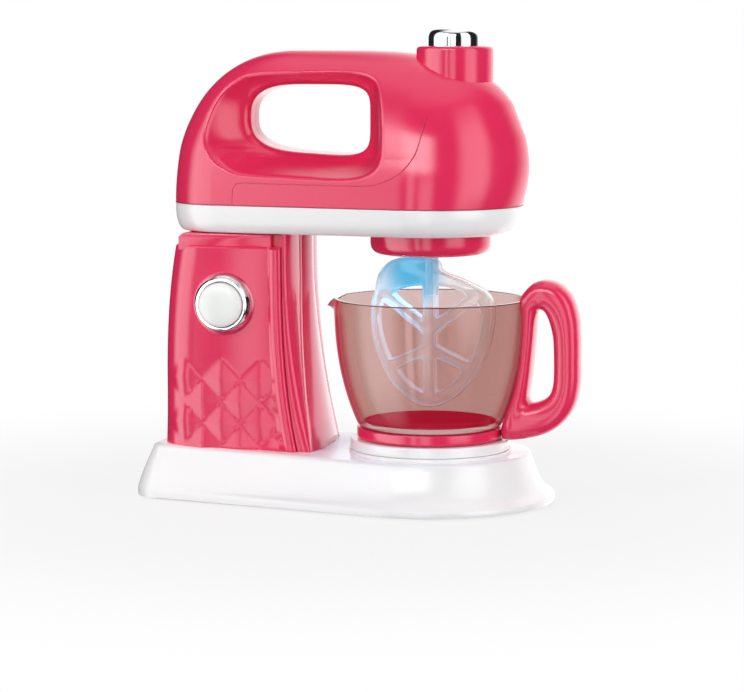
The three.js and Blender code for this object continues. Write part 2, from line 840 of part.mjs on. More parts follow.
addPiece('column_rear_shell', makeColumnRearShell(), pinkPlastic);
addPiece('column_front_shell', makeColumnFrontShell(), pinkPlastic);
columnPosts.forEach((z, index) => {
  const start = columnRearX + columnWall * 3 - screwHeadHeight * 2 - clearance;
  const mesh = addScrew(`column_screw_${index + 1}`, start, 0, z, columnScrewLength);
  mesh.rotation.y = Math.PI / 2;
});

const pinHalf = hingePinLength / 2;
addPiece('hinge_pin', turnedAlongY([
  [0, -pinHalf], [hingePinRadius, -pinHalf], [hingePinRadius, pinHalf], [0, pinHalf],
], hingeX, hingeZ, smallSides), steel);

// Power button: a chrome ring, the button, its spring, and the switch on its board

function makeButtonRing() {
  const bore = powerButtonRadius + clearance;
  const face = powerFaceY - ringProud;
  const seat = powerFaceY - seatGap;
  return turnedAlongY([
    [bore, face + ringProud / 3], [bore + ringProud / 3, face], [ringRadius - ringProud / 2, face],
    [ringRadius, face + ringProud / 2], [ringRadius, seat], [ringSleeveRadius, seat],
    [ringSleeveRadius, powerFaceY + powerSleeveDepth], [bore, powerFaceY + powerSleeveDepth],
    [bore, face + ringProud / 3],
  ], powerX, powerZ, roundSides);
}

const powerFlangeFront = powerFaceY + powerSleeveDepth + clearance;
const powerFlangeRear = powerFlangeFront + powerFlangeHeight;

function makePowerButton() {
  const edge = powerFaceY - powerButtonProud + powerButtonCrown;
  const crown = [];
  for (let step = 0; step < 5; step += 1) {
    const angle = (step / 5) * (Math.PI / 2);
    crown.push([powerButtonRadius * Math.sin(angle), edge - powerButtonCrown * Math.cos(angle)]);
  }
  return turnedAlongY([
    ...crown, [powerButtonRadius, edge], [powerButtonRadius, powerFlangeFront],
    [powerFlangeRadius, powerFlangeFront], [powerFlangeRadius, powerFlangeRear],
    [plungerRadius, powerFlangeRear], [plungerRadius, powerStemEnd], [0, powerStemEnd],
  ], powerX, powerZ, roundSides);
}

const powerPlungerTip = boardFront - switchHeight;
const powerStemEnd = powerPlungerTip - buttonTravel - clearance;

addPiece('button_ring', makeButtonRing(), chrome);
addPiece('power_button', makePowerButton(), milkyPlastic);

const powerSpringLength = boardFront - powerFlangeRear - clearance * 2;
const powerSpring = coil(springRadius, powerSpringLength);
powerSpring.rotateX(-Math.PI / 2);
powerSpring.translate(powerX, powerFlangeRear + clearance, powerZ);
addPiece('power_button_spring', powerSpring, steel);

addPiece('switch_board', block(
  powerX - boardHalfLength, powerX + boardHalfLength, boardFront, boardFront + boardThickness,
  powerZ - boardHalfLength, powerZ + boardHalfLength,
), boardGreen);

const switchHalf = switchBody / 2;
addPiece('power_switch', join(
  block(powerX - switchHalf, powerX + switchHalf, boardFront - switchHeight + plungerHeight / 2,
    boardFront - seatGap / 2, powerZ - switchHalf, powerZ + switchHalf),
  turnedAlongY([
    [0, powerPlungerTip], [plungerRadius, powerPlungerTip],
    [plungerRadius, boardFront - switchHeight / 2], [0, boardFront - switchHeight / 2],
  ], powerX, powerZ, tinySides),
), darkPlastic);

// Column wire, from the battery bay through the base roof up to the switch board
const wireRadius = screwShankRadius;
const boardBack = boardFront + boardThickness + wireRadius + clearance * 4;
addPiece('column_wire', wire(new THREE.CatmullRomCurve3([
  new THREE.Vector3(columnWireX, columnWireY, baseRoof - wireRadius),
  new THREE.Vector3(columnWireX, columnWireY, baseTop + columnWall * 2),
  new THREE.Vector3((columnWireX + powerX) / 2, columnWireY, columnWaistHeight),
  new THREE.Vector3(powerX + boardHalfLength / 2, boardBack, powerZ - boardHalfLength),
  new THREE.Vector3(powerX + boardHalfLength / 2, boardBack, powerZ),
]), wireRadius, 14, 6), wireRed);

// Head: tray, and the domed shells with the grip hole

const trayTop = headTrayBottom + headTrayHeight;
const shellBottom = trayTop + seatGap;
const trayRoundShares = [[0, 1], [0.12, 0.52], [0.4, 0.2], [1, 0.02]];

function headRing(inset, z, count) {
  return ringRound([
    [bowlAxisX, 0, headFrontRadius - inset], [headRearX, 0, headRearRadius - inset],
  ], z, count);
}

function trayBody() {
  return loft(trayRoundShares.map(([heightShare, insetShare]) => (
    headRing(headTrayInset * insetShare, headTrayBottom + headTrayHeight * heightShare, largeSides)
  )));
}

// Half width of the head's plan at x
function headHalfWidth(x, inset) {
  const front = headFrontRadius - inset;
  const rear = headRearRadius - inset;
  const lean = (front - rear) / (bowlAxisX - headRearX);
  const upright = Math.sqrt(1 - lean * lean);
  if (x > bowlAxisX - front * lean) return Math.sqrt(Math.max(0, front ** 2 - (x - bowlAxisX) ** 2));
  if (x < headRearX - rear * lean) return Math.sqrt(Math.max(0, rear ** 2 - (x - headRearX) ** 2));
  return (front + lean * (x - bowlAxisX)) / upright;
}

// Height of the head's top line over the seam at x
function headHeight(x, inset) {
  const rearReach = domeRearCrownX - headRearX + headRearRadius - inset;
  const frontReach = bowlAxisX + headFrontRadius - inset - domeFrontCrownX;
  const crown = domeHeight - inset;
  if (x < domeRearCrownX) {
    const away = Math.min(1, (domeRearCrownX - x) / rearReach);
    return crown * (1 - away ** domeRearPower) ** (1 / domeRearPower);
  }
  const away = Math.min(1, Math.max(0, x - domeFrontCrownX) / frontReach);
  return crown * (1 - away ** domeFrontPower) ** (1 / domeFrontPower);
}

// How far the nose swells out over the seam, at x and at a height over the seam
function noseSwell(x, rise, inset) {
  const front = bowlAxisX + headFrontRadius - inset;
  const ahead = Math.min(1, Math.max(0, x - domeFrontCrownX) / (front - domeFrontCrownX));
  const risen = Math.min(1, Math.max(0, rise) / noseSwellHeight);
  return noseSwellReach * ahead ** noseSwellPower * risen * (2 - risen);
}

function archRing(x, inset, bottom, steps) {
  const half = Math.max(headHalfWidth(x, inset), thinnest);
  const height = Math.max(headHeight(x, inset), thinnest) + trayTop - bottom;
  const ring = [];
  for (let step = 0; step <= steps; step += 1) {
    const angle = (Math.PI * step) / steps;
    const across = Math.cos(angle);
    const z = bottom + height * Math.abs(Math.sin(angle)) ** (2 / domeArchPower);
    ring.push([
      x + noseSwell(x, z - shellBottom, inset),
      half * Math.sign(across) * Math.abs(across) ** (2 / domeArchPower),
      z,
    ]);
  }
  return ring;
}

function domeBody(inset, bottom, stations, steps) {
  const rear = headRearX - headRearRadius + inset;
  const front = bowlAxisX + headFrontRadius - inset;
  const rings = [];
  for (let station = 0; station <= stations; station += 1) {
    const angle = (Math.PI * (station + domeEndShare)) / (stations + domeEndShare * 2);
    const x = (rear + front) / 2 - ((front - rear) / 2) * Math.cos(angle);
    rings.push(archRing(x, inset, bottom, steps));
  }
  return loft(rings);
}

// The grip hole through the head, flaring into a dish on both sides
function gripTool(growth, offsetShares, count) {
  const sides = [];
  for (const share of offsetShares) sides.push([gripHalfDepth - growth + dishDepth * share, share]);
  const levels = [...sides.map(([y, share]) => [-y, share]).reverse(), ...sides];
  return loft(levels.map(([y, share]) => {
    const spread = share ** (1 / dishPower);
    const rear = gripRearX - growth - dishRearGrowth * spread;
    const front = gripFrontX + growth + dishFrontGrowth * spread;
    const bottom = gripBottom - growth - dishBottomGrowth * spread;
    const top = gripTop + growth + dishTopGrowth * spread;
    const ring = [];
    for (let step = 0; step < count; step += 1) {
      const angle = (fullTurn * step) / count;
      const [u, v] = [Math.cos(angle), Math.sin(angle)];
      ring.push([
        (rear + front) / 2 + ((front - rear) / 2) * Math.sign(u) * Math.abs(u) ** (2 / gripPower),
        y,
        (bottom + top) / 2 + ((top - bottom) / 2) * Math.sign(v) * Math.abs(v) ** (2 / gripPower),
      ]);
    }
    return ring;
  }));
}

// The dish round the grip hole, as shares of its full spread
const gripDishShares = [0, 0.08, 0.35, 1, 1.5];
const gripHollowShares = [0, 0.4, 1, 1.5];
const hollowStepShare = 0.75;
const headScrewPlaces = [[headScrewFrontX, headScrewFrontY], [headScrewRearX, headScrewRearY]];
const headBossTop = trayTop + headBossHeight;

function makeHeadShells() {
  const outer = domeBody(0, shellBottom, domeStations, archSteps);
  const inner = domeBody(headWall, shellBottom - overrun, domeStations / 2, archSteps * hollowStepShare);
  const hollow = cut(inner, gripTool(headWall, gripHollowShares, smallSides));
  const collarHole = drum(collarRadius + seatGap, collarBottom, far, collarX, 0, roundSides);
  let shell = cut(outer, gripTool(0, gripDishShares, roundSides), hollow, collarHole);
  for (const side of [-1, 1]) {
    for (const [x, y] of headScrewPlaces) {
      const wallY = side * headFrontRadius;
      const boss = join(
        drum(postRadius, shellBottom, headBossTop, x, side * y, smallSides),
        block(x - headWall / 2, x + headWall / 2, Math.min(side * y, wallY), Math.max(side * y, wallY),
          shellBottom, headBossTop),
      ).intersect(outer);
      const bore = screwHole(x, side * y, 0, headBossTop - headWall, screwShankRadius + clearance);
      shell = cut(join(shell, boss), bore);
    }
  }
  return [-1, 1].map((side) => shell.subtract(
    block(-far, far, side > 0 ? -far : -seatGap / 2, side > 0 ? seatGap / 2 : far, -far, far),
  ));
}

const hubTop = headTrayBottom - seatGap;
const idlerDistance = (gearModule * (pinionTeeth + wheelTeeth)) / 2 + meshBacklash;
const idlerX = bowlAxisX + idlerDistance * Math.cos(idlerAngle * toRadians);
const idlerY = idlerDistance * Math.sin(idlerAngle * toRadians);
const motorX = idlerX + idlerDistance * Math.cos(motorAngle * toRadians);
const motorY = idlerY + idlerDistance * Math.sin(motorAngle * toRadians);
const trayFloor = headTrayBottom + headWall;
const idlerWheelBottom = driveGearBottom + gearThickness + clearance * 2;
const gearboxBottom = idlerWheelBottom + gearThickness + clearance * 2;
const gearboxTop = gearboxBottom + gearboxThickness;
const wheelReach = (gearModule * wheelTeeth) / 2 + toothTop;
const gearboxRear = idlerX - wheelReach - gearboxMargin;
const gearboxFront = bowlAxisX + wheelReach + gearboxMargin;
const gearboxSide = wheelReach + gearboxMargin * 1.5;
const gearboxPosts = [
  [gearboxRear + screwHeadRadius, -gearboxSide + screwHeadRadius],
  [gearboxFront - screwHeadRadius, -gearboxSide + screwHeadRadius],
  [gearboxFront - screwHeadRadius, gearboxSide - screwHeadRadius],
];

function makeHeadTray() {
  const hollow = loft([
    headRing(headWall + headTrayInset / 2, trayFloor, roundSides),
    headRing(headWall, trayFloor + headTrayInset / 2, roundSides),
    headRing(headWall, trayTop + overrun, roundSides),
  ]);
  let tray = cut(trayBody(), hollow);
  const knuckle = join(
    turnedAlongY([
      [0, -knuckleHalfWidth], [hingeBarrelRadius, -knuckleHalfWidth],
      [hingeBarrelRadius, knuckleHalfWidth], [0, knuckleHalfWidth],
    ], hingeX, hingeZ, smallSides),
    block(hingeX - hingeBarrelRadius, hingeX + hingeBarrelRadius, -knuckleHalfWidth, knuckleHalfWidth,
      hingeZ, trayFloor - headWall / 2),
  );
  tray = join(tray, knuckle);
  for (const [x, y] of gearboxPosts) {
    tray = join(tray, drum(columnWall, trayFloor - headWall / 2, gearboxBottom - seatGap, x, y, tinySides));
  }
  const pinBore = hingePinRadius + clearance;
  const bore = turnedAlongY([
    [0, -far], [pinBore, -far], [pinBore, far], [0, far],
  ], hingeX, hingeZ, smallSides);
  tray = cut(
    tray,
    bore,
    drum(bushingRadius + seatGap, 0, trayFloor + overrun, bowlAxisX, 0, smallSides),
    drum(cableHoleRadius, 0, trayFloor + overrun, columnCableX, 0, smallSides),
    drum(lampRadius, 0, trayFloor + overrun, lampX, 0, smallSides),
  );
  for (const side of [-1, 1]) {
    for (const [x, y] of headScrewPlaces) {
      tray = join(tray, drum(postRadius, trayFloor - headWall / 2, trayTop, x, side * y, smallSides));
      tray = cut(
        tray,
        screwHole(x, side * y, 0, far, screwShankRadius + clearance),
        screwHole(x, side * y, 0, headTrayBottom + screwHeadHeight * 2, screwHeadRadius + clearance),
      );
    }
  }
  return tray;
}

const [nearShell, farShell] = makeHeadShells();
addPiece('head_near_shell', nearShell, pinkPlastic);
addPiece('head_far_shell', farShell, pinkPlastic);
addPiece('head_tray', makeHeadTray(), whitePlastic);
let headScrewNumber = 1;
for (const side of [-1, 1]) {
  for (const [x, y] of headScrewPlaces) {
    addScrew(`head_screw_${headScrewNumber}`, x, side * y, headTrayBottom + clearance,
      headBossTop - headTrayBottom - headWall * 2);
    headScrewNumber += 1;
  }
}

// Collar, top button, its spring and its switch board

const ledgeZ = collarTop - collarLedge;
const flangeTop = ledgeZ - seatGap;
const flangeBottom = flangeTop - topButtonFlangeHeight;
const topBoardBottom = collarBottom + collarLipHeight + seatGap;
const topBoardTop = topBoardBottom + topSwitchThickness;

addPiece('button_collar', turned([
  [topButtonRadius + clearance, ledgeZ], [topButtonRadius + clearance, collarTop],
  [collarRadius - collarFillet, collarTop], [collarRadius - collarFillet / 3, collarTop - collarFillet / 3],
  [collarRadius, collarTop - collarFillet], [collarRadius, collarBottom],
  [collarChamberRadius - collarFillet, collarBottom],
  [collarChamberRadius - collarFillet, collarBottom + collarLipHeight],
  [collarChamberRadius, collarBottom + collarLipHeight], [collarChamberRadius, ledgeZ],
  [topButtonRadius + clearance, ledgeZ],
], collarX, 0, roundSides), pinkPlastic);

function makeTopButton() {
  const rounded = [];
  for (let step = 0; step <= 4; step += 1) {
    const angle = (step / 4) * (Math.PI / 2);
    rounded.push([
      topButtonRadius - topButtonFillet * (1 - Math.cos(angle)),
      topButtonTop - topButtonFillet * (1 - Math.sin(angle)),
    ]);
  }
  const inner = topButtonRadius - headWall;
  const roof = topButtonTop - headWall * 2;
  const stemEnd = topBoardTop + switchHeight + buttonTravel + clearance;
  return turned([
    [0, stemEnd], [plungerRadius, stemEnd], [plungerRadius, roof], [inner, roof], [inner, flangeBottom],
    [topButtonFlange, flangeBottom], [topButtonFlange, flangeTop], [topButtonRadius, flangeTop],
    ...rounded, [0, topButtonTop],
  ], collarX, 0, roundSides);
}

addPiece('top_button', makeTopButton(), chrome);

const topSpringRadius = topButtonFlange - headWall / 2 - springWire;
const topSpring = coil(topSpringRadius, flangeBottom - topBoardTop - clearance * 2);
topSpring.translate(collarX, 0, topBoardTop + clearance);
addPiece('top_button_spring', topSpring, steel);
addPiece('top_switch_board', join(
  drum(collarChamberRadius - clearance, topBoardBottom, topBoardTop, collarX, 0, roundSides),
  block(collarX - switchHalf, collarX + switchHalf, -switchHalf, switchHalf, topBoardTop - seatGap,
    topBoardTop + switchHeight - plungerHeight / 2),
  drum(plungerRadius, topBoardTop, topBoardTop + switchHeight, collarX, 0, tinySides),
), boardGreen);

// Gear train from the motor to the drive shaft

function toothedDisc(teeth, angle, bottom, thickness) {
  const pitchRadius = (gearModule * teeth) / 2;
  const shape = new THREE.Shape();
  for (let tooth = 0; tooth < teeth; tooth += 1) {
    const pitch = fullTurn / teeth;
    const middle = angle + tooth * pitch;
    const corners = [
      [pitchRadius - toothRoot, -toothRootShare], [pitchRadius + toothTop, -toothTipShare],
      [pitchRadius + toothTop, toothTipShare], [pitchRadius - toothRoot, toothRootShare],
    ];
    corners.forEach(([radius, share], index) => {
      const at = middle + share * pitch;
      const [u, v] = [radius * Math.cos(at), radius * Math.sin(at)];
      if (tooth === 0 && index === 0) shape.moveTo(u, v);
      else shape.lineTo(u, v);
    });
  }
  const geometry = new THREE.ExtrudeGeometry(shape, { depth: thickness, bevelEnabled: false });
  geometry.translate(0, 0, bottom);
  return solidOf(geometry);
}

function placed(solid, x, y) {
  const geometry = geometryOf(solid);
  geometry.translate(x, y, 0);
  return geometry;
}

const towardsIdler = idlerAngle * toRadians;
const towardsMotor = motorAngle * toRadians;
const halfTooth = Math.PI / pinionTeeth;
const boreGap = shaftRadius + seatGap;
const driveGear = cut(
  toothedDisc(wheelTeeth, towardsIdler, driveGearBottom, gearThickness),
  drum(boreGap, 0, far, 0, 0, smallSides),
);
addPiece('drive_gear', placed(driveGear, bowlAxisX, 0), gearPlastic);

const idlerSmall = toothedDisc(pinionTeeth, towardsIdler + Math.PI + halfTooth, driveGearBottom,
  idlerWheelBottom - driveGearBottom + gearThickness / 2);
const idlerLarge = toothedDisc(wheelTeeth, towardsMotor, idlerWheelBottom, gearThickness);
const idlerBore = drum(idlerPinRadius + clearance, 0, far, 0, 0, tinySides);
const idlerGear = cut(join(idlerSmall, idlerLarge), idlerBore);
addPiece('idler_gear', placed(idlerGear, idlerX, idlerY), gearPlastic);
const idlerPinBottom = trayFloor + seatGap / 2;
addPiece('idler_pin', drum(idlerPinRadius, idlerPinBottom, gearboxTop, idlerX, idlerY, tinySides), steel);

const motorShaftTop = gearboxTop + seatGap;
const motorGear = join(
  toothedDisc(pinionTeeth, towardsMotor + Math.PI + halfTooth, idlerWheelBottom, gearThickness),
  drum(shaftRadius / 2, idlerWheelBottom + gearThickness / 2, motorShaftTop, 0, 0, tinySides),
);
addPiece('motor_gear', placed(motorGear, motorX, motorY), gearPlastic);

addPiece('gearbox_plate', cut(
  block(gearboxRear, gearboxFront, -gearboxSide, gearboxSide, gearboxBottom, gearboxTop),
  drum(boreGap + clearance, 0, far, bowlAxisX, 0, smallSides),
  drum(shaftRadius / 2 + clearance, 0, far, motorX, motorY, tinySides),
  drum(idlerPinRadius + seatGap / 2, 0, far, idlerX, idlerY, tinySides),
  ...headScrewPlaces.map(([x, y]) => drum(postRadius * 1.5, 0, far, x, y, smallSides)),
  ...headScrewPlaces.map(([x, y]) => drum(postRadius * 1.5, 0, far, x, -y, smallSides)),
), whitePlastic);

const motorBottom = motorShaftTop + seatGap;
addPiece('motor', turned([
  [0, motorBottom], [motorRadius, motorBottom], [motorRadius, motorBottom + motorHeight],
  [motorBossRadius, motorBottom + motorHeight],
  [motorBossRadius, motorBottom + motorHeight + motorBossHeight],
  [0, motorBottom + motorHeight + motorBossHeight],
], motorX, motorY, roundSides), steel);

const shaftTop = gearboxTop;
addPiece('drive_shaft', drum(shaftRadius, shaftBottom, shaftTop, bowlAxisX, 0, smallSides), steel);
addPiece('shaft_bushing', turned([
  [boreGap, headTrayBottom - seatGap / 2], [bushingRadius, headTrayBottom - seatGap / 2],
  [bushingRadius, headTrayBottom + bushingHeight - clearance],
  [boreGap, headTrayBottom + bushingHeight - clearance], [boreGap, headTrayBottom - seatGap / 2],
], bowlAxisX, 0, smallSides), milkyPlastic);

// Head wire, from the tilting joint to the motor
const wireLiftShare = 1.5;
addPiece('head_wire', wire(new THREE.CatmullRomCurve3([
  new THREE.Vector3(columnCableX, 0, trayFloor + wireRadius + clearance),
  new THREE.Vector3(columnCableX + wireRadius * 4, 0, trayFloor + wireRadius * wireLiftShare),
  new THREE.Vector3(gearboxRear - wireRadius * 4, 0, trayTop - headWall),
  new THREE.Vector3(gearboxRear, 0, gearboxTop + wireRadius * 2),
  new THREE.Vector3(motorX - motorRadius - wireRadius - clearance, motorY, motorBottom + motorHeight / 3),
]), wireRadius, 10, 6), wireRed);

// Hub under the head, and its lamp

const stemHole = stemRadius + clearance * 2;
const hubFloor = hubBottom + hubWall;
const hub = turned([
  [stemHole, hubBottom], [hubRadius - hubFillet, hubBottom],
  [hubRadius - hubFillet * (1 - Math.SQRT1_2), hubBottom + hubFillet * (1 - Math.SQRT1_2)],
  [hubRadius, hubBottom + hubFillet], [hubRadius, hubTop], [hubRadius - hubWall, hubTop],
  [hubRadius - hubWall, hubFloor + hubWall / 2], [hubRadius - hubWall * 1.5, hubFloor],
  [stemHole, hubFloor], [stemHole, hubBottom],
], bowlAxisX, 0, largeSides);
addPiece('drive_hub', cut(hub, drum(lampRadius + seatGap, 0, hubTop, lampX, 0, smallSides)), pinkPlastic);

const lampTop = hubFloor + seatGap + hubWall / 2;
const lampBottom = lampTop - lampLength;
addPiece('lamp', turned([
  [0, lampBottom], [lampRadius * Math.SQRT1_2, lampBottom + lampRadius * (1 - Math.SQRT1_2)],
  [lampRadius, lampBottom + lampRadius], [lampRadius, hubFloor + seatGap],
  [lampFlange, hubFloor + seatGap], [lampFlange, lampTop], [0, lampTop],
], lampX, 0, smallSides), lampBlue);

// Beater: a leaf-shaped frame with ribs, on a stem that grips the drive shaft

function plateXZ(shape, thickness, bevel = 0) {
  const geometry = new THREE.ExtrudeGeometry(shape, {
    depth: thickness - bevel * 2,
    bevelEnabled: bevel > 0,
    bevelThickness: bevel,
    bevelSize: bevel,
    bevelSegments: 1,
    curveSegments: 3,
  });
  geometry.rotateX(Math.PI / 2);
  geometry.translate(0, thickness / 2 - bevel, 0);
  return geometry;
}

// The right-hand side of the leaf, from the tip up, as [width share, height share of tip to top]
const leafShares = [
  [0, 0], [0.22, 0.035], [0.49, 0.13], [0.81, 0.34], [1, 0.66], [0.97, 0.77], [0.86, 0.84], [0.55, 0.92],
];

const leafTipShare = 1.2;

function leafShape(inset, windowTop) {
  const halfWidth = beaterHalfWidth - inset;
  const tip = beaterTip + inset * leafTipShare;
  const height = beaterTop - inset - tip;
  const side = leafShares.map(([w, h]) => [w * halfWidth, tip + h * height]);
  const low = side.filter(([, z]) => z < windowTop);
  const outline = [...low, ...low.slice(1).reverse().map(([x, z]) => [-x, z])];
  const path = outline.map(([x, z]) => new THREE.Vector2(x, z));
  return path;
}

function makeBeater() {
  const outline = leafShape(0, far);
  const body = new THREE.Shape();
  const middle = leafShares.length;
  body.moveTo(outline[0].x, outline[0].y);
  body.splineThru(outline.slice(1, middle));
  body.lineTo(stemRadius, beaterTop);
  body.lineTo(stemRadius, beaterHorn);
  body.lineTo(-beaterHornSide, beaterHorn);
  body.lineTo(-beaterHornCorner, beaterHorn - beaterRing);
  body.lineTo(-beaterHornRoot, beaterTop - beaterRing);
  body.splineThru([...outline.slice(middle + 1), outline[0]]);
  const window = new THREE.Shape();
  const inner = leafShape(beaterRing, beaterWindowTop);
  const half = (inner.length + 1) / 2;
  window.moveTo(inner[0].x, inner[0].y);
  window.splineThru(inner.slice(1, half));
  window.lineTo(inner[half - 1].x - beaterRib, beaterWindowTop);
  window.lineTo(inner[half].x + beaterRib, beaterWindowTop);
  window.lineTo(inner[half].x, inner[half].y);
  window.splineThru([...inner.slice(half + 1), inner[0]]);
  let frame = cut(
    solidOf(plateXZ(body, beaterThickness)),
    solidOf(plateXZ(window, beaterThickness + overrun * 2)),
  );
  const bar = (fromX, fromZ, toX, toZ) => {
    const length = Math.hypot(toX - fromX, toZ - fromZ);
    const geometry = new THREE.BoxGeometry(length, beaterThickness, beaterRib);
    geometry.rotateY(-Math.atan2(toZ - fromZ, toX - fromX));
    geometry.translate((fromX + toX) / 2, 0, (fromZ + toZ) / 2);
    return solidOf(geometry);
  };
  const armReach = beaterHalfWidth - beaterRing / 2;
  const ribs = [bar(0, beaterTip + beaterRing / 2, 0, beaterWindowTop + beaterRib)];
  for (const side of [-1, 1]) {
    ribs.push(bar(0, beaterHubHeight + beaterRib, side * armReach, beaterWindowTop + beaterRib / 2));
    ribs.push(bar(0, beaterHubHeight - beaterRib, side * armReach, beaterHubHeight - beaterRib * 6));
  }
  const leaf = solidOf(plateXZ(body, beaterThickness));
  frame = join(frame, ...ribs.map((rib) => rib.intersect(leaf)));
  const stem = drum(stemRadius, beaterWindowTop - beaterRib, stemTop, 0, 0, smallSides);
  const socket = drum(shaftRadius + seatGap, shaftBottom - clearance, far, 0, 0, smallSides);
  return placed(cut(join(frame, stem), socket), bowlAxisX, 0);
}

addPiece('beater', makeBeater(), clearPlastic);

// Bowl: see-through wall, pink foot and handle

const bowlFootBottom = seatTop + seatGap;
const bowlBottom = bowlFootBottom + bowlFootHeight + seatGap;
const bowlShares = [0, 0.14, 0.32, 0.54, 0.77, 1];

function bowlRadiusAt(share) {
  return bowlBottomRadius + (bowlRimRadius - bowlBottomRadius) * (1 - (1 - share) ** (1 / bowlBelly));
}

function bowlProfile(inset, bottom, shares = bowlShares) {
  const side = shares.map((share) => [
    bowlRadiusAt(share) - inset, bowlBottom + bowlHeight * share,
  ]);
  side[0][1] = bottom;
  return side;
}

const spoutKeelShare = 1.4;
const spoutWallShare = 0.625;
const bowlInsideShares = [0, 0.25, 0.6, 1];

function spoutPart(inset) {
  const rim = bowlBottom + bowlHeight;
  const wall = bowlAxisX - bowlRimRadius + bowlWall - inset / 2;
  const tip = bowlAxisX - bowlRimRadius - spoutReach + inset;
  const rise = inset > 0 ? overrun : 0;
  const low = rim - spoutDrop + inset * spoutKeelShare;
  const wide = spoutHalfWidth - inset;
  const narrow = wide / 5;
  return loft([
    [[wall, wide, rim + rise], [wall, -wide, rim + rise], [wall, 0, low]],
    [[tip, narrow, rim + rise - spoutDrop / 5], [tip, -narrow, rim + rise - spoutDrop / 5],
      [tip, 0, rim - spoutDrop / 2 + inset]],
  ]);
}

function makeBowl() {
  const outside = turned([[0, bowlBottom], ...bowlProfile(0, bowlBottom), [0, bowlBottom + bowlHeight]],
    bowlAxisX, 0, largeSides);
  const insideFloor = bowlBottom + bowlFloor;
  const inside = turned([
    [0, insideFloor], ...bowlProfile(bowlWall, insideFloor, bowlInsideShares),
    [bowlRimRadius - bowlWall, bowlBottom + bowlHeight + overrun], [0, bowlBottom + bowlHeight + overrun],
  ], bowlAxisX, 0, largeSides);
  return cut(join(outside, spoutPart(0)), inside, spoutPart(bowlWall * spoutWallShare));
}

addPiece('bowl_shell', makeBowl(), smokePlastic);

const footRecess = bowlFootRadius - bowlWall * 2;
addPiece('bowl_foot', turned([
  [0, bowlFootBottom + bowlFootHeight / 3], [footRecess, bowlFootBottom + bowlFootHeight / 3],
  [footRecess, bowlFootBottom], [bowlFootRadius - bowlWall / 3, bowlFootBottom],
  [bowlFootRadius, bowlFootBottom + bowlFootHeight / 3],
  [bowlFootRadius, bowlFootBottom + bowlFootHeight], [0, bowlFootBottom + bowlFootHeight],
], bowlAxisX, 0, largeSides), pinkPlastic);

// The handle's outer outline as shares of its reach from the bowl axis and of its height
const handleOuterShares = [
  [0.45, 0.8], [0.6, 0.9], [0.66, 0.965], [0.755, 1], [0.875, 0.965], [0.955, 0.87], [0.995, 0.72],
  [1, 0.52], [0.985, 0.33], [0.93, 0.14], [0.82, 0.03], [0.66, 0], [0.45, 0],
];

// The corner of the hole as a share of its width, and its longer front corners as shares of that
const holeRoundShare = 0.417;
const holeLowShare = 2.6;
const holeHighShare = 1.6;

// The outlines are drawn a bevel inside the handle's skin, which the bevel then reaches
function makeHandle() {
  const low = bowlFootBottom + clearance + handleBevel;
  const tall = handleTop - handleBevel - low;
  const points = handleOuterShares.map(([across, up]) => (
    new THREE.Vector2(across * (handleReach - handleBevel), low + up * tall)
  ));
  const outline = new THREE.Shape();
  outline.moveTo(points[0].x, points[0].y);
  outline.splineThru(points.slice(1, -1));
  outline.lineTo(points[points.length - 1].x, points[points.length - 1].y);
  const rear = handleHoleRear - handleBevel;
  const front = handleHoleFront + handleBevel;
  const bottom = handleHoleBottom - handleBevel;
  const top = handleHoleTop + handleBevel;
  const round = (front - rear) * holeRoundShare;
  const hole = new THREE.Path();
  hole.moveTo(rear + round, top);
  hole.quadraticCurveTo(rear, top, rear, top - round);
  hole.lineTo(rear - handleHoleLean, bottom + round);
  hole.quadraticCurveTo(rear - handleHoleLean, bottom, rear - handleHoleLean + round, bottom);
  hole.lineTo(front - round, bottom + handleHoleLean);
  hole.quadraticCurveTo(front, bottom + handleHoleLean * 2, front, bottom + round * holeLowShare);
  hole.lineTo(front, top - round * holeHighShare);
  hole.quadraticCurveTo(front, top, front - round, top);
  outline.holes.push(hole);
  const geometry = plateXZ(outline, handleThickness, handleBevel);
  geometry.translate(bowlAxisX, 0, 0);
  const reach = bowlProfile(-clearance, bowlBottom);
  const clear = turned([
    [0, 0], [bowlFootRadius + clearance, 0], [bowlFootRadius + clearance, bowlBottom - seatGap],
    ...reach, [bowlRimRadius + clearance, handleTop + overrun], [0, handleTop + overrun],
  ], bowlAxisX, 0, largeSides);
  return cut(solidOf(geometry), clear);
}

addPiece('bowl_handle', makeHandle(), pinkPlastic);

export default model;
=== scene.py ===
"""Looks of the toy stand mixer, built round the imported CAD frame.

Sizes and places are in millimetres, in the frame of the CAD: +Z up, the bowl towards +X, and the
side with the power button towards -Y. Each mesh is turned into Blender's metres as it is made.
An outline of a turned piece is a list of (radius, height) corners, with a third number where a corner
is rounded. An edge is a list of (inset, drop) pairs: how far in from the side, and how far below the top.
"""
import json
import math

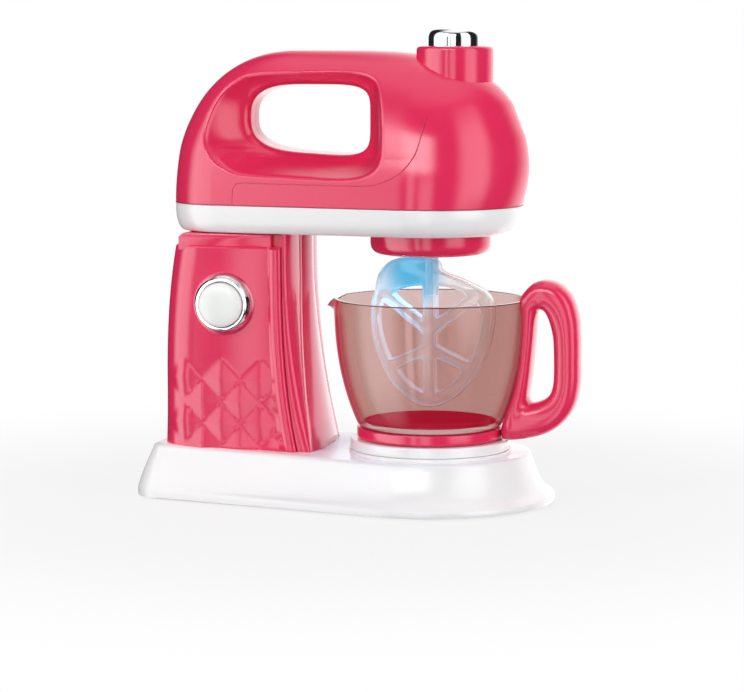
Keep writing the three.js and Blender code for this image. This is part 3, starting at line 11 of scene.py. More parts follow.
import bmesh
import bpy
import numpy as np
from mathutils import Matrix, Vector


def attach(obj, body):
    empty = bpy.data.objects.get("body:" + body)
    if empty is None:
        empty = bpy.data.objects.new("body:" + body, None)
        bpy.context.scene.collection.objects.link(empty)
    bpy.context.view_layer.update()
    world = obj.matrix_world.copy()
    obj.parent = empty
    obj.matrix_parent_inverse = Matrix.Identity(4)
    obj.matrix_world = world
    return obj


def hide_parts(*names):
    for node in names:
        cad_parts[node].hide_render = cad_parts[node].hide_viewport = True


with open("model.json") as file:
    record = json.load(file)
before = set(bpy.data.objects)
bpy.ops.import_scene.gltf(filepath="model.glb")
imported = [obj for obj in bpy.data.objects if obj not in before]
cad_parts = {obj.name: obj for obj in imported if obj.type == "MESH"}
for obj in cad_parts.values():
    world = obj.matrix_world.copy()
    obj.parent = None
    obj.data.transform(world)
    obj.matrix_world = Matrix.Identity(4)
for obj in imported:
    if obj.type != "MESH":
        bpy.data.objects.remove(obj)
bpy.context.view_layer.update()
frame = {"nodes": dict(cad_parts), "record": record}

MILLIMETRE = 0.001
FULL_TURN = 2 * math.pi
QUARTER_TURN = math.pi / 2
RING_POINTS = 256
FINE_SIDES = 128
SMALL_SIDES = 48
BEVEL_STEPS = 2
CORNER_STEPS = 6
ROUND_STEPS = 10
ARC_STEPS = 12
CURVE_STEPS = 16
WALL_STEPS = 40
MERGE_DISTANCE = 0.005
SIDES = ((-1, "near"), (1, "far"))
WHITE = (1, 1, 1, 1)

# Base and bowl seat
BOWL_X = 24
BASE_LOBE_RADIUS = 42.5
BASE_CORNER_RADIUS = 12
BASE_CORNER_X = -64
BASE_CORNER_Y = 14
BASE_CORNER_INSET = 8.15
BASE_CORNER_POWER = 2.4
BASE_TOP = 17
# Inset, and height above the floor
BASE_LIP = [(0.7, 0.6), (0.2, 0.75), (0, 1.2), (0, 2.3), (0.15, 2.8), (0.55, 3.05), (0.62, 3.2)]
FLARE_BOTTOM = 3.4
FLARE_BOTTOM_INSET = 0.8
FLARE_TOP = 15.6
FLARE_TOP_INSET = 7.9
FLARE_POWER = 0.55
DECK_INSET = 9.3
DECK_RING_SHARES = (0.9, 0.75, 0.5, 0.25)
DECK_LIFT = 1.5
DECK_LIFT_START = -8
DECK_LIFT_END = -30
SEAT_RING_OUTLINE = [(27.6, 16), (27.6, 17.98, 0.3), (25.6, 17.98), (0, 17.98)]
SEAT_OUTLINE = [(0, 18.1), (27.3, 18.1, 0.3), (27.3, 21.5, 0.7), (0, 21.5)]

# Column
COLUMN_REAR_X = -66.8
COLUMN_FRONT_X = -18
COLUMN_HALF_WIDTH = 21
COLUMN_REAR_RADIUS = 12
COLUMN_BOTTOM = 17.2
COLUMN_TOP = 87
COLUMN_FLARE = 6.5
COLUMN_REAR_LEAN = 3.7
COLUMN_REAR_POWER = 2.5
COLUMN_WAIST = 38
COLUMN_TOP_EDGE = [(0.25, 0.25), (0.8, 0)]
COLUMN_PLAIN_TOP = 86.2
RING_GAP = 0.03
PANEL_MIDDLE_X = -40.9
PANEL_HALF_WIDTH = 13.9
PANEL_CROWN = 0.5
DIAMOND_HALF_WIDTH = 6.85
DIAMOND_HALF_HEIGHT = 7.55
DIAMOND_HEIGHT = 1.1
DIAMOND_TOP_ROW = 41.6
DIAMOND_FIRST_X = -30.4
DIAMOND_COLUMNS = 5
DIAMOND_ROWS = 4
RIDGE_SHARE = 0.03
FACET_STEPS = 8
BEAD_SIDE_STEPS = 5
BEAD_X = -26.9
BEAD_WIDTH = 3.8
BEAD_HEIGHT = 0.9
BEAD_FLARE = 5.5
BEAD_POWER = 2.8
GROOVE_DEPTH = 0.8
GROOVE_EDGE = 0.3
FRONT_INSET = 1.2
FRONT_GAP = 0.15
FRONT_EDGE_WIDTH = 0.1
FRONT_EDGE_DROP = 0.2
FRONT_WRAP = 2
FRONT_BULGE = 1.8
CREASE_TOP_Y = 7.9
CREASE_BOTTOM_Y = 18.3
CREASE_FADE = 76
CREASE_RIDGE = 0.3

# Neck and hinge
HINGE_X = -57
HINGE_Z = 88.5
HINGE_BARREL_RADIUS = 2.7
NECK_TOP = 91.2
NECK_FRONT_X = -26.6
NECK_INSET = 1.8
NECK_SINK = 1
NECK_SLANT = 1.4
NECK_SLANT_X = -58
NECK_ROUND = 0.5
NECK_ROUND_SHRINK = 0.15
KNUCKLE_GAP = 6.3
KNUCKLE_OUTLINE = [(0, -6), (HINGE_BARREL_RADIUS, -6, 0.3), (HINGE_BARREL_RADIUS, 6, 0.3), (0, 6)]
KNUCKLE_SIDES = 32
# Boxes: middle in x, half length, half width, bottom and top
NECK_CORE = (-37.7, 15.7, 17, 86.5, 90.8)
KNUCKLE_WEB = (HINGE_X, 2.6, 5.9, HINGE_Z, 92.1)

# Power button; the heights of its ring are measured out from the column's side
POWER_X = -43
POWER_Z = 67.5
RING_OUTLINE = [
    (7.8, -3), (7.8, 3.6, 0.4), (8.7, 3.6, 0.5), (10.2, 1.6, 0.9), (10.9, -0.3, 0.5), (9.3, -0.8), (8.9, -3),
    (7.8, -3),
]
CAP_RADIUS = 7.5
CAP_RIM = 4.4
CAP_CROWN = 1.8
CAP_SINK = 3
CAP_STEPS = 20

# Head
TRAY_BOTTOM = 91.5
TRAY_TOP = 100.9
TRAY_INSET = 5.2
TRAY_FOOT_INSET = 7.2
TRAY_SKIN_INSET = 0.1
TRAY_ROUND = 7.6
TRAY_EDGE = [(0.1, 0.6), (0.25, 0.12), (0.7, 0)]
TRAY_REAR_SHARE = 0.55
SHELL_BOTTOM = 101.1
HEAD_FRONT_RADIUS = 31.4
HEAD_REAR_RADIUS = 22
HEAD_REAR_X = -43.6
DOME_HEIGHT = 51.8
DOME_REAR_CROWN_X = -21
DOME_FRONT_CROWN_X = -9
DOME_REAR_POWER = 2.3
DOME_FRONT_POWER = 3.3
DOME_ARCH_POWER = 1.95
NOSE_SWELL_REACH = 2.7
NOSE_SWELL_HEIGHT = 17.6
NOSE_SWELL_POWER = 3
# Rear, front, bottom and top edge of the grip hole, and how far each has moved at the dish's unit size
GRIP_EDGES = (-37.9, 5, 118.3, 141.3)
DISH_GROWTH = (-17.6, 8.4, -8, 12)
GRIP_HALF_DEPTH = 10.5
GRIP_REAR_DEPTH = 6.5
GRIP_REAR_POWER = 2.8
GRIP_FRONT_POWER = 5
GRIP_TILT = 1.15
GRIP_TILT_FADE = 8
GRIP_FILLET = 2.2
GRIP_WALL_SHARES = (0.35, 0.7)
DISH_DEPTH = 16.5
DISH_POWER = 1.6
DISH_RIM_ROUND = 1.8
DISH_SPREAD_LIMIT = 4.0
RAY_LIMIT = 8.0
HALVINGS = 50
ANGLE_STEPS = 360
RADIAL_STEPS = 84
RADIAL_POWER = 0.9
SEAM_GAP = 0.08
SEAM_LINE_INSET = 0.12
SEAM_LINE_RADIUS = 0.2
PANEL_LINE = [(-39.4, 101.4), (-39, 108.6, 3), (14.6, 108.4, 8), (25, 116.6, 7), (27.6, 131.4)]
PANEL_LINE_STEPS = 8
PANEL_LINE_RADIUS = 0.16

# Top button in its collar
COLLAR_X = 32.2
COLLAR_OUTLINE = [
    (9.3, 137.6), (9.3, 154.2, 0.4), (13, 154.2, 1.6), (13, 133.6), (0, 133.6), (0, 137.6), (9.3, 137.6),
]
TOP_BUTTON_OUTLINE = [(0, 160), (9, 160, 3.4), (9, 153.4, 0.3), (0, 153.4)]

# Hub and lamp
HUB_OUTLINE = [(0, 85.5), (3.4, 85.5), (3.4, 84.3, 0.3), (20.5, 84.3, 4.2), (20.5, 91.3, 0.3), (0, 91.3)]
LAMP_X = 15.3
LAMP_RADIUS = 2.5
LAMP_BOTTOM = 83.1
LAMP_TOP = 87.5

# Beater: corners of its leaf and of the windows in one half of it, as (distance from the stem, height)
BEATER_THICKNESS = 4.8
BEATER_BEVEL = 0.3
BEATER_RIM = 0.36
STEM_OUTLINE = [(0, 70), (2.75, 70, 0.8), (2.75, 88, 0.3), (0, 88)]
LEAF_ROUND_SHARE = 0.5
LEAF_FACE_SHARE = 0.5
LEAF_OUTLINE = [
    (0, 32.2), (5.5, 33.4), (11.2, 37.6), (16.6, 44.4), (20.2, 52.6), (21.8, 61.4), (21.9, 68),
    (19.6, 71.5), (15.8, 73.3), (11.1, 75.5), (5.6, 77.2), (3.1, 78.4), (2.8, 81.8), (-2.6, 82.4),
    (-10.8, 82.4), (-13.9, 81.2), (-16.2, 78.8), (-17.8, 76.4), (-18.4, 71.8), (-19.9, 68.3),
    (-20.5, 61.4), (-19, 51.6), (-13.6, 40.8), (-10.3, 37.4), (-5, 33.4),
]
WINDOW_ROUND_SHARE = 0.22
LEAF_WINDOWS = [
    [(1.8, 61.4), (13.4, 70.2), (11.4, 72), (6.4, 73.6), (1.8, 74)],
    [(2, 57.4), (14.4, 67), (16.8, 68.4), (18.4, 63), (17.6, 57), (15.8, 51), (14, 47.3),
     (2, 52.7)],
    [(1.7, 49.6), (11.8, 45), (9.4, 41.3), (6.2, 38.4), (1.7, 36.4)],
]

# Bowl
BOWL_BOTTOM = 25.6
BOWL_TOP = 69.2
BOWL_BOTTOM_RADIUS = 24.5
BOWL_RIM_RADIUS = 32.85
BOWL_WALL = 1.6
BOWL_BELLY = 0.42
BOWL_RIM_DROP = 0.5
BOWL_RIM_EDGE = [(0.1, 0.15), (0.4, 0)]
# Inset, and height above the bottom
BOWL_BOTTOM_EDGE = [(1.2, 0), (0.3, 0.3)]
BOWL_INNER_BOTTOM = 29.6
BOWL_CORNER_TOP = 29.2
BOWL_CORNER_RADIUS = 23.2
BOWL_CORNER_ROUND = 1.8
BOWL_FLOOR_RADIUS = 19.5
SPOUT_REACH = 3.6
SPOUT_DROP = 3.4
SPOUT_HALF_ANGLE = 0.28
SPOUT_HEIGHT = 8.5
SPOUT_SIDE_POWER = 1.4
SPOUT_RISE_POWER = 1.3
RIM_LINE_RADIUS = 0.18
BOWL_FLOOR_OUTLINE = [(0, 27.22), (22.6, 27.22), (22.6, 27.32), (0, 27.32)]
FOOT_OUTLINE = [(0, 22.9), (21.8, 22.9), (21.8, 21.7, 0.3), (25, 21.7, 1.1), (25, 25.4, 0.5), (0, 25.4)]

# Bowl handle: corners of its loop and of the hole in it, as (distance from the bowl's axis, height)
HANDLE_HALF_THICKNESS = 7
HANDLE_SIDES = 24
HANDLE_POWER = 0.68
HANDLE_OUTLINE = [
    (31.4, 69.5), (33.4, 73), (36.5, 75.6), (40.5, 76.4), (44.9, 75), (48.9, 70.8), (51.1, 64.5),
    (51.8, 57), (51.9, 49), (51.8, 41), (50.2, 33.8), (46.2, 28), (40.4, 24.2), (33, 22.3),
    (26.2, 22), (25.2, 25.5), (26.9, 31), (28.7, 36), (30.2, 42), (31.5, 50), (32.1, 58),
    (32.1, 64.5),
]
HANDLE_HOLE = [
    (37.6, 65.6), (38.4, 66.2), (39.5, 66), (40.5, 64.8), (41.4, 62.6), (42.2, 59.6), (42.8, 56.2),
    (43, 51.6), (43.1, 46.8), (43, 42.6), (42.5, 39.6), (41.4, 37.4), (39.6, 36), (37.6, 35.2),
    (35.6, 34.8), (34.6, 35.4), (34.3, 36.8), (34.7, 39.6), (35.3, 44), (35.9, 50), (36.5, 57),
    (36.9, 62.6),
]

# Materials
CLOUD_SCALE = 60
CLOUD_DETAIL = 3
CLEAR_CLOUD_SCALE = 90
CLEAR_DARK_SHARE = 0.97
GRAIN_DETAIL = 2
GRAIN_DEPTH = 0.2
ROUGHNESS_SHARES = (0.85, 1.15)
SKIN_ROUGHNESS = 0.08
GLOSS_ROUGHNESS = 0.05
FACING_GLOSS = 0.03
FACING_BLEND = 0.5
SMOKE = {"through": "ecdcd9", "turning": (0.5, 0.84), "edge_gloss": 0.1}

# The lamp's blue light, painted into the beater as a glow round the place that the lamp lights
GLOW_COLOUR = "3fb2de"
GLOW_X = 17.4
GLOW_Z = 77.6
GLOW_START = 3
GLOW_END = 14

# Floor
FLOOR_REACH = 6000
FLOOR_GREY = 0.7
FLOOR_ROUGHNESS = 0.9
FLOOR_SHADE_SHARE = 0.22
FLOOR_FADE_START = 90
FLOOR_FADE_END = 260

# The studio round the object, as its gloss shows it: azimuth, elevation, half-widths and brightness
WORLD_LIGHT = 0.56
GLOSS_BASE = 0.02
SOFT_EDGE_SHARE = 0.45
STUDIO = [
    (-147, 0, 27, 40, 4.5),
    (-103, -6, 4.2, 30, 3.4),
    (-99, 29, 20, 8.5, 9),
    (-29.5, 16, 17.5, 30, 3.5),
    (-85, -8, 8, 26, 3.0),
    (75, 0, 35, 60, 1.9),
    (0, 90, 360, 30, 1.2),
]

# Lamps: name, place, width and height, and watts
SOFTBOXES = [
    ("key_left", (-500, -750, 550), 500, 3.1),
    ("fill_right", (850, -200, 200), 500, 2.9),
    ("top", (0, 100, 900), 600, 1.3),
]
SOFTBOX_TARGET = (0, 0, 80)
SPOT_PLACE = (LAMP_X, 0, 82.7)
SPOT = {
    "energy": 0.04, "color": (0.05, 0.55, 1), "spot_size": math.radians(110), "spot_blend": 0.8,
    "shadow_soft_size": 2 * MILLIMETRE,
}

# Camera, fitted to the photograph
CAMERA_AZIMUTH = 14.5
CAMERA_ELEVATION = 6.8
CAMERA_DISTANCE = 900
CAMERA_TARGET = (3.42, 0, 52.1)
CAMERA_LENS = 127.2
SENSOR_WIDTH = 36


# Numbers and meshes


def spread(steps, first=0):
    """Shares of a whole in equal steps up to 1, from the given first step on."""
    return [step / steps for step in range(first, steps + 1)]


def between(start, end, share):
    return start + (end - start) * share


def bend(start, corner, end, share):
    """A point on the curve that leaves start towards a corner and comes in to end from it."""
    return start * (1 - share) ** 2 + corner * 2 * share * (1 - share) + end * share ** 2


def last_holding(test, low, high):
    """The last value for which a test holds, between low, where it does, and high, where it doesn't."""
    for _ in range(HALVINGS):
        middle = (low + high) / 2
        holds = test(middle)
        low = np.where(holds, middle, low)
        high = np.where(holds, high, middle)
    return (low + high) / 2


def linked(name, data):
    """A new object of the scene."""
    item = bpy.data.objects.new(name, data)
    bpy.context.scene.collection.objects.link(item)
    return item


def placed(name, mesh, body, slot, replaced, finish):
    """A mesh put into the scene as a piece on a CAD body, with its slot's finish unless another is named."""
    mesh.materials.clear()
    mesh.materials.append(finishes[finish or slot])
    piece = linked(name, mesh)
    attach(piece, body)
    if replaced:
        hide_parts(*replaced)
    return piece


def piece_from(name, shape, body, slot, replaced=(), finish=None, sharp=40):
    """A smooth-shaded piece from the points and faces of a shape, in millimetres."""
    points, faces = shape
    mesh = bpy.data.meshes.new(name)
    mesh.from_pydata((np.asarray(points, float) * MILLIMETRE).tolist(), [], faces)
    cleaned = bmesh.new()
    cleaned.from_mesh(mesh)
    bmesh.ops.remove_doubles(cleaned, verts=cleaned.verts, dist=MERGE_DISTANCE * MILLIMETRE)
    bmesh.ops.recalc_face_normals(cleaned, faces=cleaned.faces)
    cleaned.to_mesh(mesh)
    cleaned.free()
    mesh.shade_smooth()
    mesh.set_sharp_from_angle(angle=math.radians(sharp))
    return placed(name, mesh, body, slot, replaced, finish)


def curve_mesh(name, paths, bevel, closed, plate_thickness=0):
    """The mesh of a round bar along each path, or of the flat plate that closed paths bound."""
    curve = bpy.data.curves.new(name, "CURVE")
    curve.dimensions = "3D"
    curve.use_fill_caps = True
    if plate_thickness:
        curve.dimensions = "2D"
        curve.fill_mode = "BOTH"
        curve.extrude = (plate_thickness / 2 - bevel) * MILLIMETRE
    curve.bevel_depth = bevel * MILLIMETRE
    curve.bevel_resolution = BEVEL_STEPS
    for path in paths:
        spline = curve.splines.new("POLY")
        spline.points.add(len(path) - 1)
        for point, place in zip(spline.points, path):
            point.co = (*[value * MILLIMETRE for value in place], 1)
        spline.use_cyclic_u = closed
    holder = linked(name + "_path", curve)
    mesh = bpy.data.meshes.new_from_object(holder.evaluated_get(bpy.context.evaluated_depsgraph_get()))
    bpy.data.objects.remove(holder)
    return mesh


def tube(name, path, radius, body, slot, finish, closed=True):
    """A thin round bar along a path of points in millimetres."""
    mesh = curve_mesh(name, [path], radius, closed)
    mesh.shade_smooth()
    return placed(name, mesh, body, slot, (), finish)


def grid_faces(rows, columns, joined=False):
    """Quads over rows of points, each row closed; joined rows also close from the last to the first."""
    faces = []
    for row in range(rows if joined else rows - 1):
        low = row * columns
        high = (row + 1) % rows * columns
        for column in range(columns):
            following = (column + 1) % columns
            faces.append((low + column, low + following, high + following, high + column))
    return faces


def capped(rings):
    """Points and faces of a skin over level rings, closed by a flat face at each end."""
    count = len(rings[0])
    faces = grid_faces(len(rings), count)
    faces.append(tuple(reversed(range(count))))
    last = (len(rings) - 1) * count
    faces.append(tuple(range(last, last + count)))
    return np.concatenate(rings), faces


def level(corners, z):
    """A level ring through corners (x, y)."""
    return np.array([(x, y, z) for x, y in corners], float)


def block(middle_x, half_length, half_width, bottom, top):
    """Points and faces of a box across the middle plane."""
    corners = [
        (middle_x + half_length * along, half_width * across)
        for along, across in ((-1, -1), (1, -1), (1, 1), (-1, 1))
    ]
    return capped([level(corners, bottom), level(corners, top)])


def rounded(path, steps=CORNER_STEPS):
    """A path with its corners rounded: each corner is (u, v) or (u, v, radius)."""
    result = []
    for index, corner in enumerate(path):
        here = np.array(corner[:2], float)
        radius = corner[2] if len(corner) > 2 else 0
        if not radius or index in (0, len(path) - 1):
            result.append(tuple(here))
            continue
        before = np.array(path[index - 1][:2], float) - here
        after = np.array(path[index + 1][:2], float) - here
        start = here + before / np.linalg.norm(before) * radius
        end = here + after / np.linalg.norm(after) * radius
        result += [tuple(bend(start, here, end, share)) for share in spread(steps)]
    return result


def loop_with_round_corners(corners, reach_share):
    """A closed outline, rounded over a share of the way from each corner to its neighbours."""
    corners = [np.array(corner, float) for corner in corners]
    result = []
    for index, here in enumerate(corners):
        start = between(here, corners[index - 1], reach_share)
        end = between(here, corners[(index + 1) % len(corners)], reach_share)
        result += [tuple(bend(start, here, end, share)) for share in spread(CORNER_STEPS)]
    return result


def smooth_loop(path, steps):
    """A closed curve through the points of a path, as points evenly spread between them."""
    path = np.array(path, float)
    count = len(path)
    result = []
    for index in range(count):
        before, here, after, beyond = [path[(index + shift) % count] for shift in (-1, 0, 1, 2)]
        for t in spread(steps)[:-1]:
            result.append(0.5 * (2 * here + (after - before) * t
                                 + (2 * before - 5 * here + 4 * after - beyond) * t ** 2
                                 + (3 * here - before - 3 * after + beyond) * t ** 3))
    return np.array(result)


def dome_profile(radius, edge, rise, steps):
    """Half a dome from its top to its edge: (radius, height) pairs."""
    turns = [share * QUARTER_TURN for share in spread(steps)]
    return [(radius * math.sin(turn), edge + rise * math.cos(turn)) for turn in turns]


def turned(profile, centre, axis="z", sides=FINE_SIDES):
    """Points and faces of a turned piece; the profile is a list of (radius, height)."""
    angles = np.arange(sides) * FULL_TURN / sides
    rows = []
    for radius, height in profile:
        around = [centre[0] + radius * np.cos(angles), centre[1] + radius * np.sin(angles)]
        heights = np.full(sides, height)
        order = [around[0], around[1], heights] if axis == "z" else [around[0], heights, around[1]]
        rows.append(np.stack(order, 1))
    faces = grid_faces(len(rows), sides)
    if not np.allclose(profile[0], profile[-1]):
        for row in (0, len(rows) - 1):
            if profile[row][0] > 0:
                faces.append(tuple(range(row * sides, (row + 1) * sides)))
    return np.concatenate(rows), faces


def turned_piece(name, outline, x, body, slot, replaced=(), finish=None, steps=CORNER_STEPS,
                 sides=FINE_SIDES):
    """A piece turned about the upright axis at x on the middle plane, from an outline of corners."""
    shape = turned(rounded(outline, steps), (x, 0), sides=sides)
    return piece_from(name, shape, body, slot, replaced, finish)


def ring_round(circles, z, count=RING_POINTS):
    """The outline round a set of circles (x, y, radius), as a level ring."""
    angles = np.arange(count) * FULL_TURN / count
    out = np.stack([np.cos(angles), np.sin(angles)], 1)
    centres = np.array([circle[:2] for circle in circles], float)
    radii = np.array([circle[2] for circle in circles], float)
    best = np.argmax(out @ centres.T + radii, axis=1)
    flat = centres[best] + radii[best, None] * out
    return np.column_stack([flat, np.full(count, z)])


def mirrored(half_row, z):
    """A closed level ring from a half section, which starts at the front and ends on the middle plane."""
    near = [(x, -y) for x, y in half_row]
    return level(near + list(reversed(half_row[:-1])), z)


# Shader nodes


def fill(tree, node, sockets):
    """Give each socket of a node its value, or a link from the output that stands for it."""
    for socket, value in sockets.items():
        if isinstance(value, bpy.types.NodeSocket):
            tree.links.new(value, node.inputs[socket])
        else:
            node.inputs[socket].default_value = value


def added(tree, kind, sockets, **settings):
    """A new node of a shader tree, with its settings made and its sockets filled."""
    node = tree.nodes.new("ShaderNode" + kind)
    for setting, value in settings.items():
        setattr(node, setting, value)
    fill(tree, node, sockets)
    return node


def calculated(tree, operation, *values):
    return added(tree, "Math", dict(enumerate(values)), operation=operation).outputs[0]


def ranged(tree, value, low, high, start=0, end=1, interpolation="LINEAR"):
    """A value between start and end, turned into one between low and high."""
    sockets = {"Value": value, "From Min": start, "From Max": end, "To Min": low, "To Max": high}
    return added(tree, "MapRange", sockets, interpolation_type=interpolation).outputs["Result"]


def soft_step(tree, value, start, end, low=0, high=1):
    return ranged(tree, value, low, high, start, end, "SMOOTHSTEP")


def mixed(tree, share, first, second):
    """The second shader over the first, by a share."""
    return added(tree, "MixShader", {0: share, 1: first, 2: second}).outputs[0]


def object_place(tree):
    return added(tree, "TexCoord", {}).outputs["Object"]


def cloudy_colour(tree, clouds, dark, light):
    """A colour that drifts between two close ones."""
    sockets = {"Factor": clouds, "A": (*dark, 1), "B": (*light, 1)}
    return added(tree, "Mix", sockets, data_type="RGBA").outputs["Result"]


def linear(colour):
    """Linear values of a colour written as hexadecimal sRGB."""
    parts = [int(colour[start:start + 2], 16) / 255 for start in (0, 2, 4)]
    return [part / 12.92 if part <= 0.04045 else ((part + 0.055) / 1.055) ** 2.4 for part in parts]


def new_material(name):
    """A node material that pieces find by its name."""
    material = bpy.data.materials.new(name)
    material.use_nodes = True
    finishes[name] = material
    return material


def finish_of(name, colour, roughness, variation=0.04, grain=0.02, grain_scale=900, **sockets):
    """A procedural finish: slight cloudy variation of colour and roughness, and a fine bump."""
    tree = new_material(name).node_tree
    place = object_place(tree)
    clouds = added(tree, "TexNoise", {"Scale": CLOUD_SCALE, "Detail": CLOUD_DETAIL, "Vector": place})
    grains = added(tree, "TexNoise", {"Scale": grain_scale, "Detail": GRAIN_DETAIL, "Vector": place})
    bump = added(tree, "Bump", {
        "Strength": grain, "Distance": GRAIN_DEPTH * MILLIMETRE, "Height": grains.outputs["Fac"],
    })
    base = linear(colour)
    dark = [value * (1 - variation) for value in base]
    light = [min(1, value * (1 + variation)) for value in base]
    smooth, rough = [roughness * share for share in ROUGHNESS_SHARES]
    fill(tree, tree.nodes["Principled BSDF"], {
        "Base Color": cloudy_colour(tree, clouds.outputs["Fac"], dark, light),
        "Roughness": ranged(tree, clouds.outputs["Fac"], smooth, rough),
        "Normal": bump.outputs["Normal"],
        **{socket.replace("_", " "): value for socket, value in sockets.items()},
    })


def painted_lamp_glow(tree, plastic, density):
    """A plastic's shader, with the blue lamp's light painted into it as an emission glow round the lamp, up
    to a density.
    """
    place = added(tree, "TexCoord", {})
    lamp_places.append(place)
    centre = [value * MILLIMETRE for value in (GLOW_X, 0, GLOW_Z)]
    away = added(tree, "VectorMath", {0: place.outputs["Object"], 1: centre}, operation="DISTANCE")
    end, start = GLOW_END * MILLIMETRE, GLOW_START * MILLIMETRE
    near = soft_step(tree, away.outputs["Value"], end, start, high=density)
    painted_glow_shader = added(tree, "Emission", {"Color": (*linear(GLOW_COLOUR), 1), "Strength": 1})
    return mixed(tree, near, plastic, painted_glow_shader.outputs[0])


def see_through(name, colour, density, edge_density, through="ffffff", turning=(0.5, 1), edge_gloss=0.12,
                painted_glow_density=0):
    """Clear plastic: tinted light passes straight on, and the skin looks denser where it turns away."""
    tree = new_material(name).node_tree
    base = linear(colour)
    clouds = added(tree, "TexNoise", {"Scale": CLEAR_CLOUD_SCALE, "Vector": object_place(tree)})
    dark = [value * CLEAR_DARK_SHARE for value in base]
    skin = tree.nodes["Principled BSDF"]
    fill(tree, skin, {
        "Base Color": cloudy_colour(tree, clouds.outputs["Fac"], dark, base), "Roughness": SKIN_ROUGHNESS,
    })
    passing = added(tree, "BsdfTransparent", {"Color": (*linear(through), 1)})
    facing = added(tree, "LayerWeight", {"Blend": FACING_BLEND})
    steep = soft_step(tree, facing.outputs["Facing"], *turning)
    share = ranged(tree, steep, density, edge_density)
    plastic = mixed(tree, share, passing.outputs[0], skin.outputs[0])
    # Where a glow density is given, the lamp's blue light is painted into the plastic as emission
    if painted_glow_density:
        plastic = painted_lamp_glow(tree, plastic, painted_glow_density)
    gloss = added(tree, "BsdfGlossy", {"Roughness": GLOSS_ROUGHNESS})
    reflection = ranged(tree, steep, FACING_GLOSS, edge_gloss)
    surface = mixed(tree, reflection, plastic, gloss.outputs[0])
    fill(tree, tree.nodes["Material Output"], {"Surface": surface})


# Materials, by name; the lamp's coordinates that the painted glow of some of them uses get the lamp once it
# is made

finishes = {}
lamp_places = []
finish_of("pink_plastic", "e62e5c", 0.16)
# A dark pink for the line along the head's seam: painted shadow of the gap between the band and the shells
finish_of("seam_painted_shade", "9c1c40", 0.4)
# A darker pink for the head's fine panel lines: painted shade of the step along each line
finish_of("panel_line_painted_shade", "cf2f58", 0.3)
finish_of("white_plastic", "f3f3f4", 0.2, variation=0.01)
finish_of("milky_plastic", "f3f6f3", 0.28, variation=0.01, Subsurface_Weight=0.15, Subsurface_Scale=0.004)
finish_of("chrome", "e6e8ea", 0.06, variation=0.01, grain=0.005, Metallic=1.0)
finish_of("steel", "b9b9bd", 0.32, grain=0.15, grain_scale=500, Metallic=1.0)
finish_of("foot_rubber", "d9d9d9", 0.75, grain=0.3, grain_scale=1500)
# The beater's clear plastics carry the lamp's painted blue glow
see_through("clear_plastic", "f6efec", 0.34, 0.8, painted_glow_density=0.8)
# The leaf's side walls get a denser white skin: a painted highlight, standing in for the bright reflections
# on the walls of the windows
see_through("clear_side_painted_highlight", "ffffff", 0.8, 0.9, painted_glow_density=0.9)
see_through("clear_rim", "ffffff", 0.65, 0.85, painted_glow_density=0.9)
see_through("smoke_plastic", "c42440", 0.02, 0.97, **SMOKE)
see_through("smoke_inner", "d8304c", 0, 0.2, **SMOKE)
finish_of("bowl_rim_line", "5a2c30", 0.3)
finish_of("bowl_floor_tint", "f42a4c", 0.5, Specular_IOR_Level=0)
finish_of("gear_plastic", "f0ead8", 0.45, grain=0.1)
finish_of("board_green", "2f7a4a", 0.4, variation=0.15, grain=0.1)
finish_of("dark_plastic", "222226", 0.45, grain=0.15)
finish_of("cell_wrap", "3a6fb5", 0.35, Metallic=0.2)
finish_of("wire_red", "b02828", 0.4)
finish_of("lamp_blue", "58c8f4", 0.08, variation=0.02, Emission_Color=(0.1, 0.62, 1, 1),
          Emission_Strength=2.5)

for part in frame["record"]["subparts"]:
    solid = frame["nodes"][part["node"]].data
    solid.materials.clear()
    solid.materials.append(finishes[part["material_slot"]])


# Base and bowl seat


def base_ring(inset, z):
    """A level ring round the base, drawn in by an inset; its rear corners grow sharper on the way."""
    corner = BASE_CORNER_RADIUS - BASE_CORNER_INSET * (inset / DECK_INSET) ** BASE_CORNER_POWER
    return ring_round([
        (BOWL_X, 0, BASE_LOBE_RADIUS - inset),
        (BASE_CORNER_X, BASE_CORNER_Y, corner),
        (BASE_CORNER_X, -BASE_CORNER_Y, corner),
    ], z)


def base_shape():
    """The flared base, whose deck rises a little towards the foot of the column."""
    levels = list(BASE_LIP)
    for share in spread(CURVE_STEPS):
        inset = between(FLARE_BOTTOM_INSET, FLARE_TOP_INSET, share ** FLARE_POWER)
        levels.append((inset, between(FLARE_BOTTOM, FLARE_TOP, share)))
    round_in = DECK_INSET - FLARE_TOP_INSET
    for share in spread(CORNER_STEPS, 1):
        turn = share * QUARTER_TURN
        inset = FLARE_TOP_INSET + round_in * (1 - math.cos(turn))
        levels.append((inset, FLARE_TOP + round_in * math.sin(turn)))
    rings = [base_ring(inset, z) for inset, z in levels]
    deck_edge = rings[-1]
    deck_middle = np.array([(BOWL_X + BASE_CORNER_X) / 2, 0, deck_edge[0][2]])
    rings += [between(deck_middle, deck_edge, share) for share in DECK_RING_SHARES]
    points, faces = capped(rings)
    behind = np.clip((points[:, 0] - DECK_LIFT_START) / (DECK_LIFT_END - DECK_LIFT_START), 0, 1)
    above_lip = np.clip((points[:, 2] - FLARE_BOTTOM) / (BASE_TOP - FLARE_BOTTOM), 0, 1)
    points[:, 2] += DECK_LIFT * behind ** 2 * (3 - 2 * behind) * above_lip
    return points, faces


piece_from("mixer_base", base_shape(), "base", "white_plastic", ["base_shell"])
turned_piece("seat_ring", SEAT_RING_OUTLINE, BOWL_X, "base", "white_plastic")
turned_piece("seat_disc", SEAT_OUTLINE, BOWL_X, "turntable", "white_plastic", ["bowl_seat"])


# Column


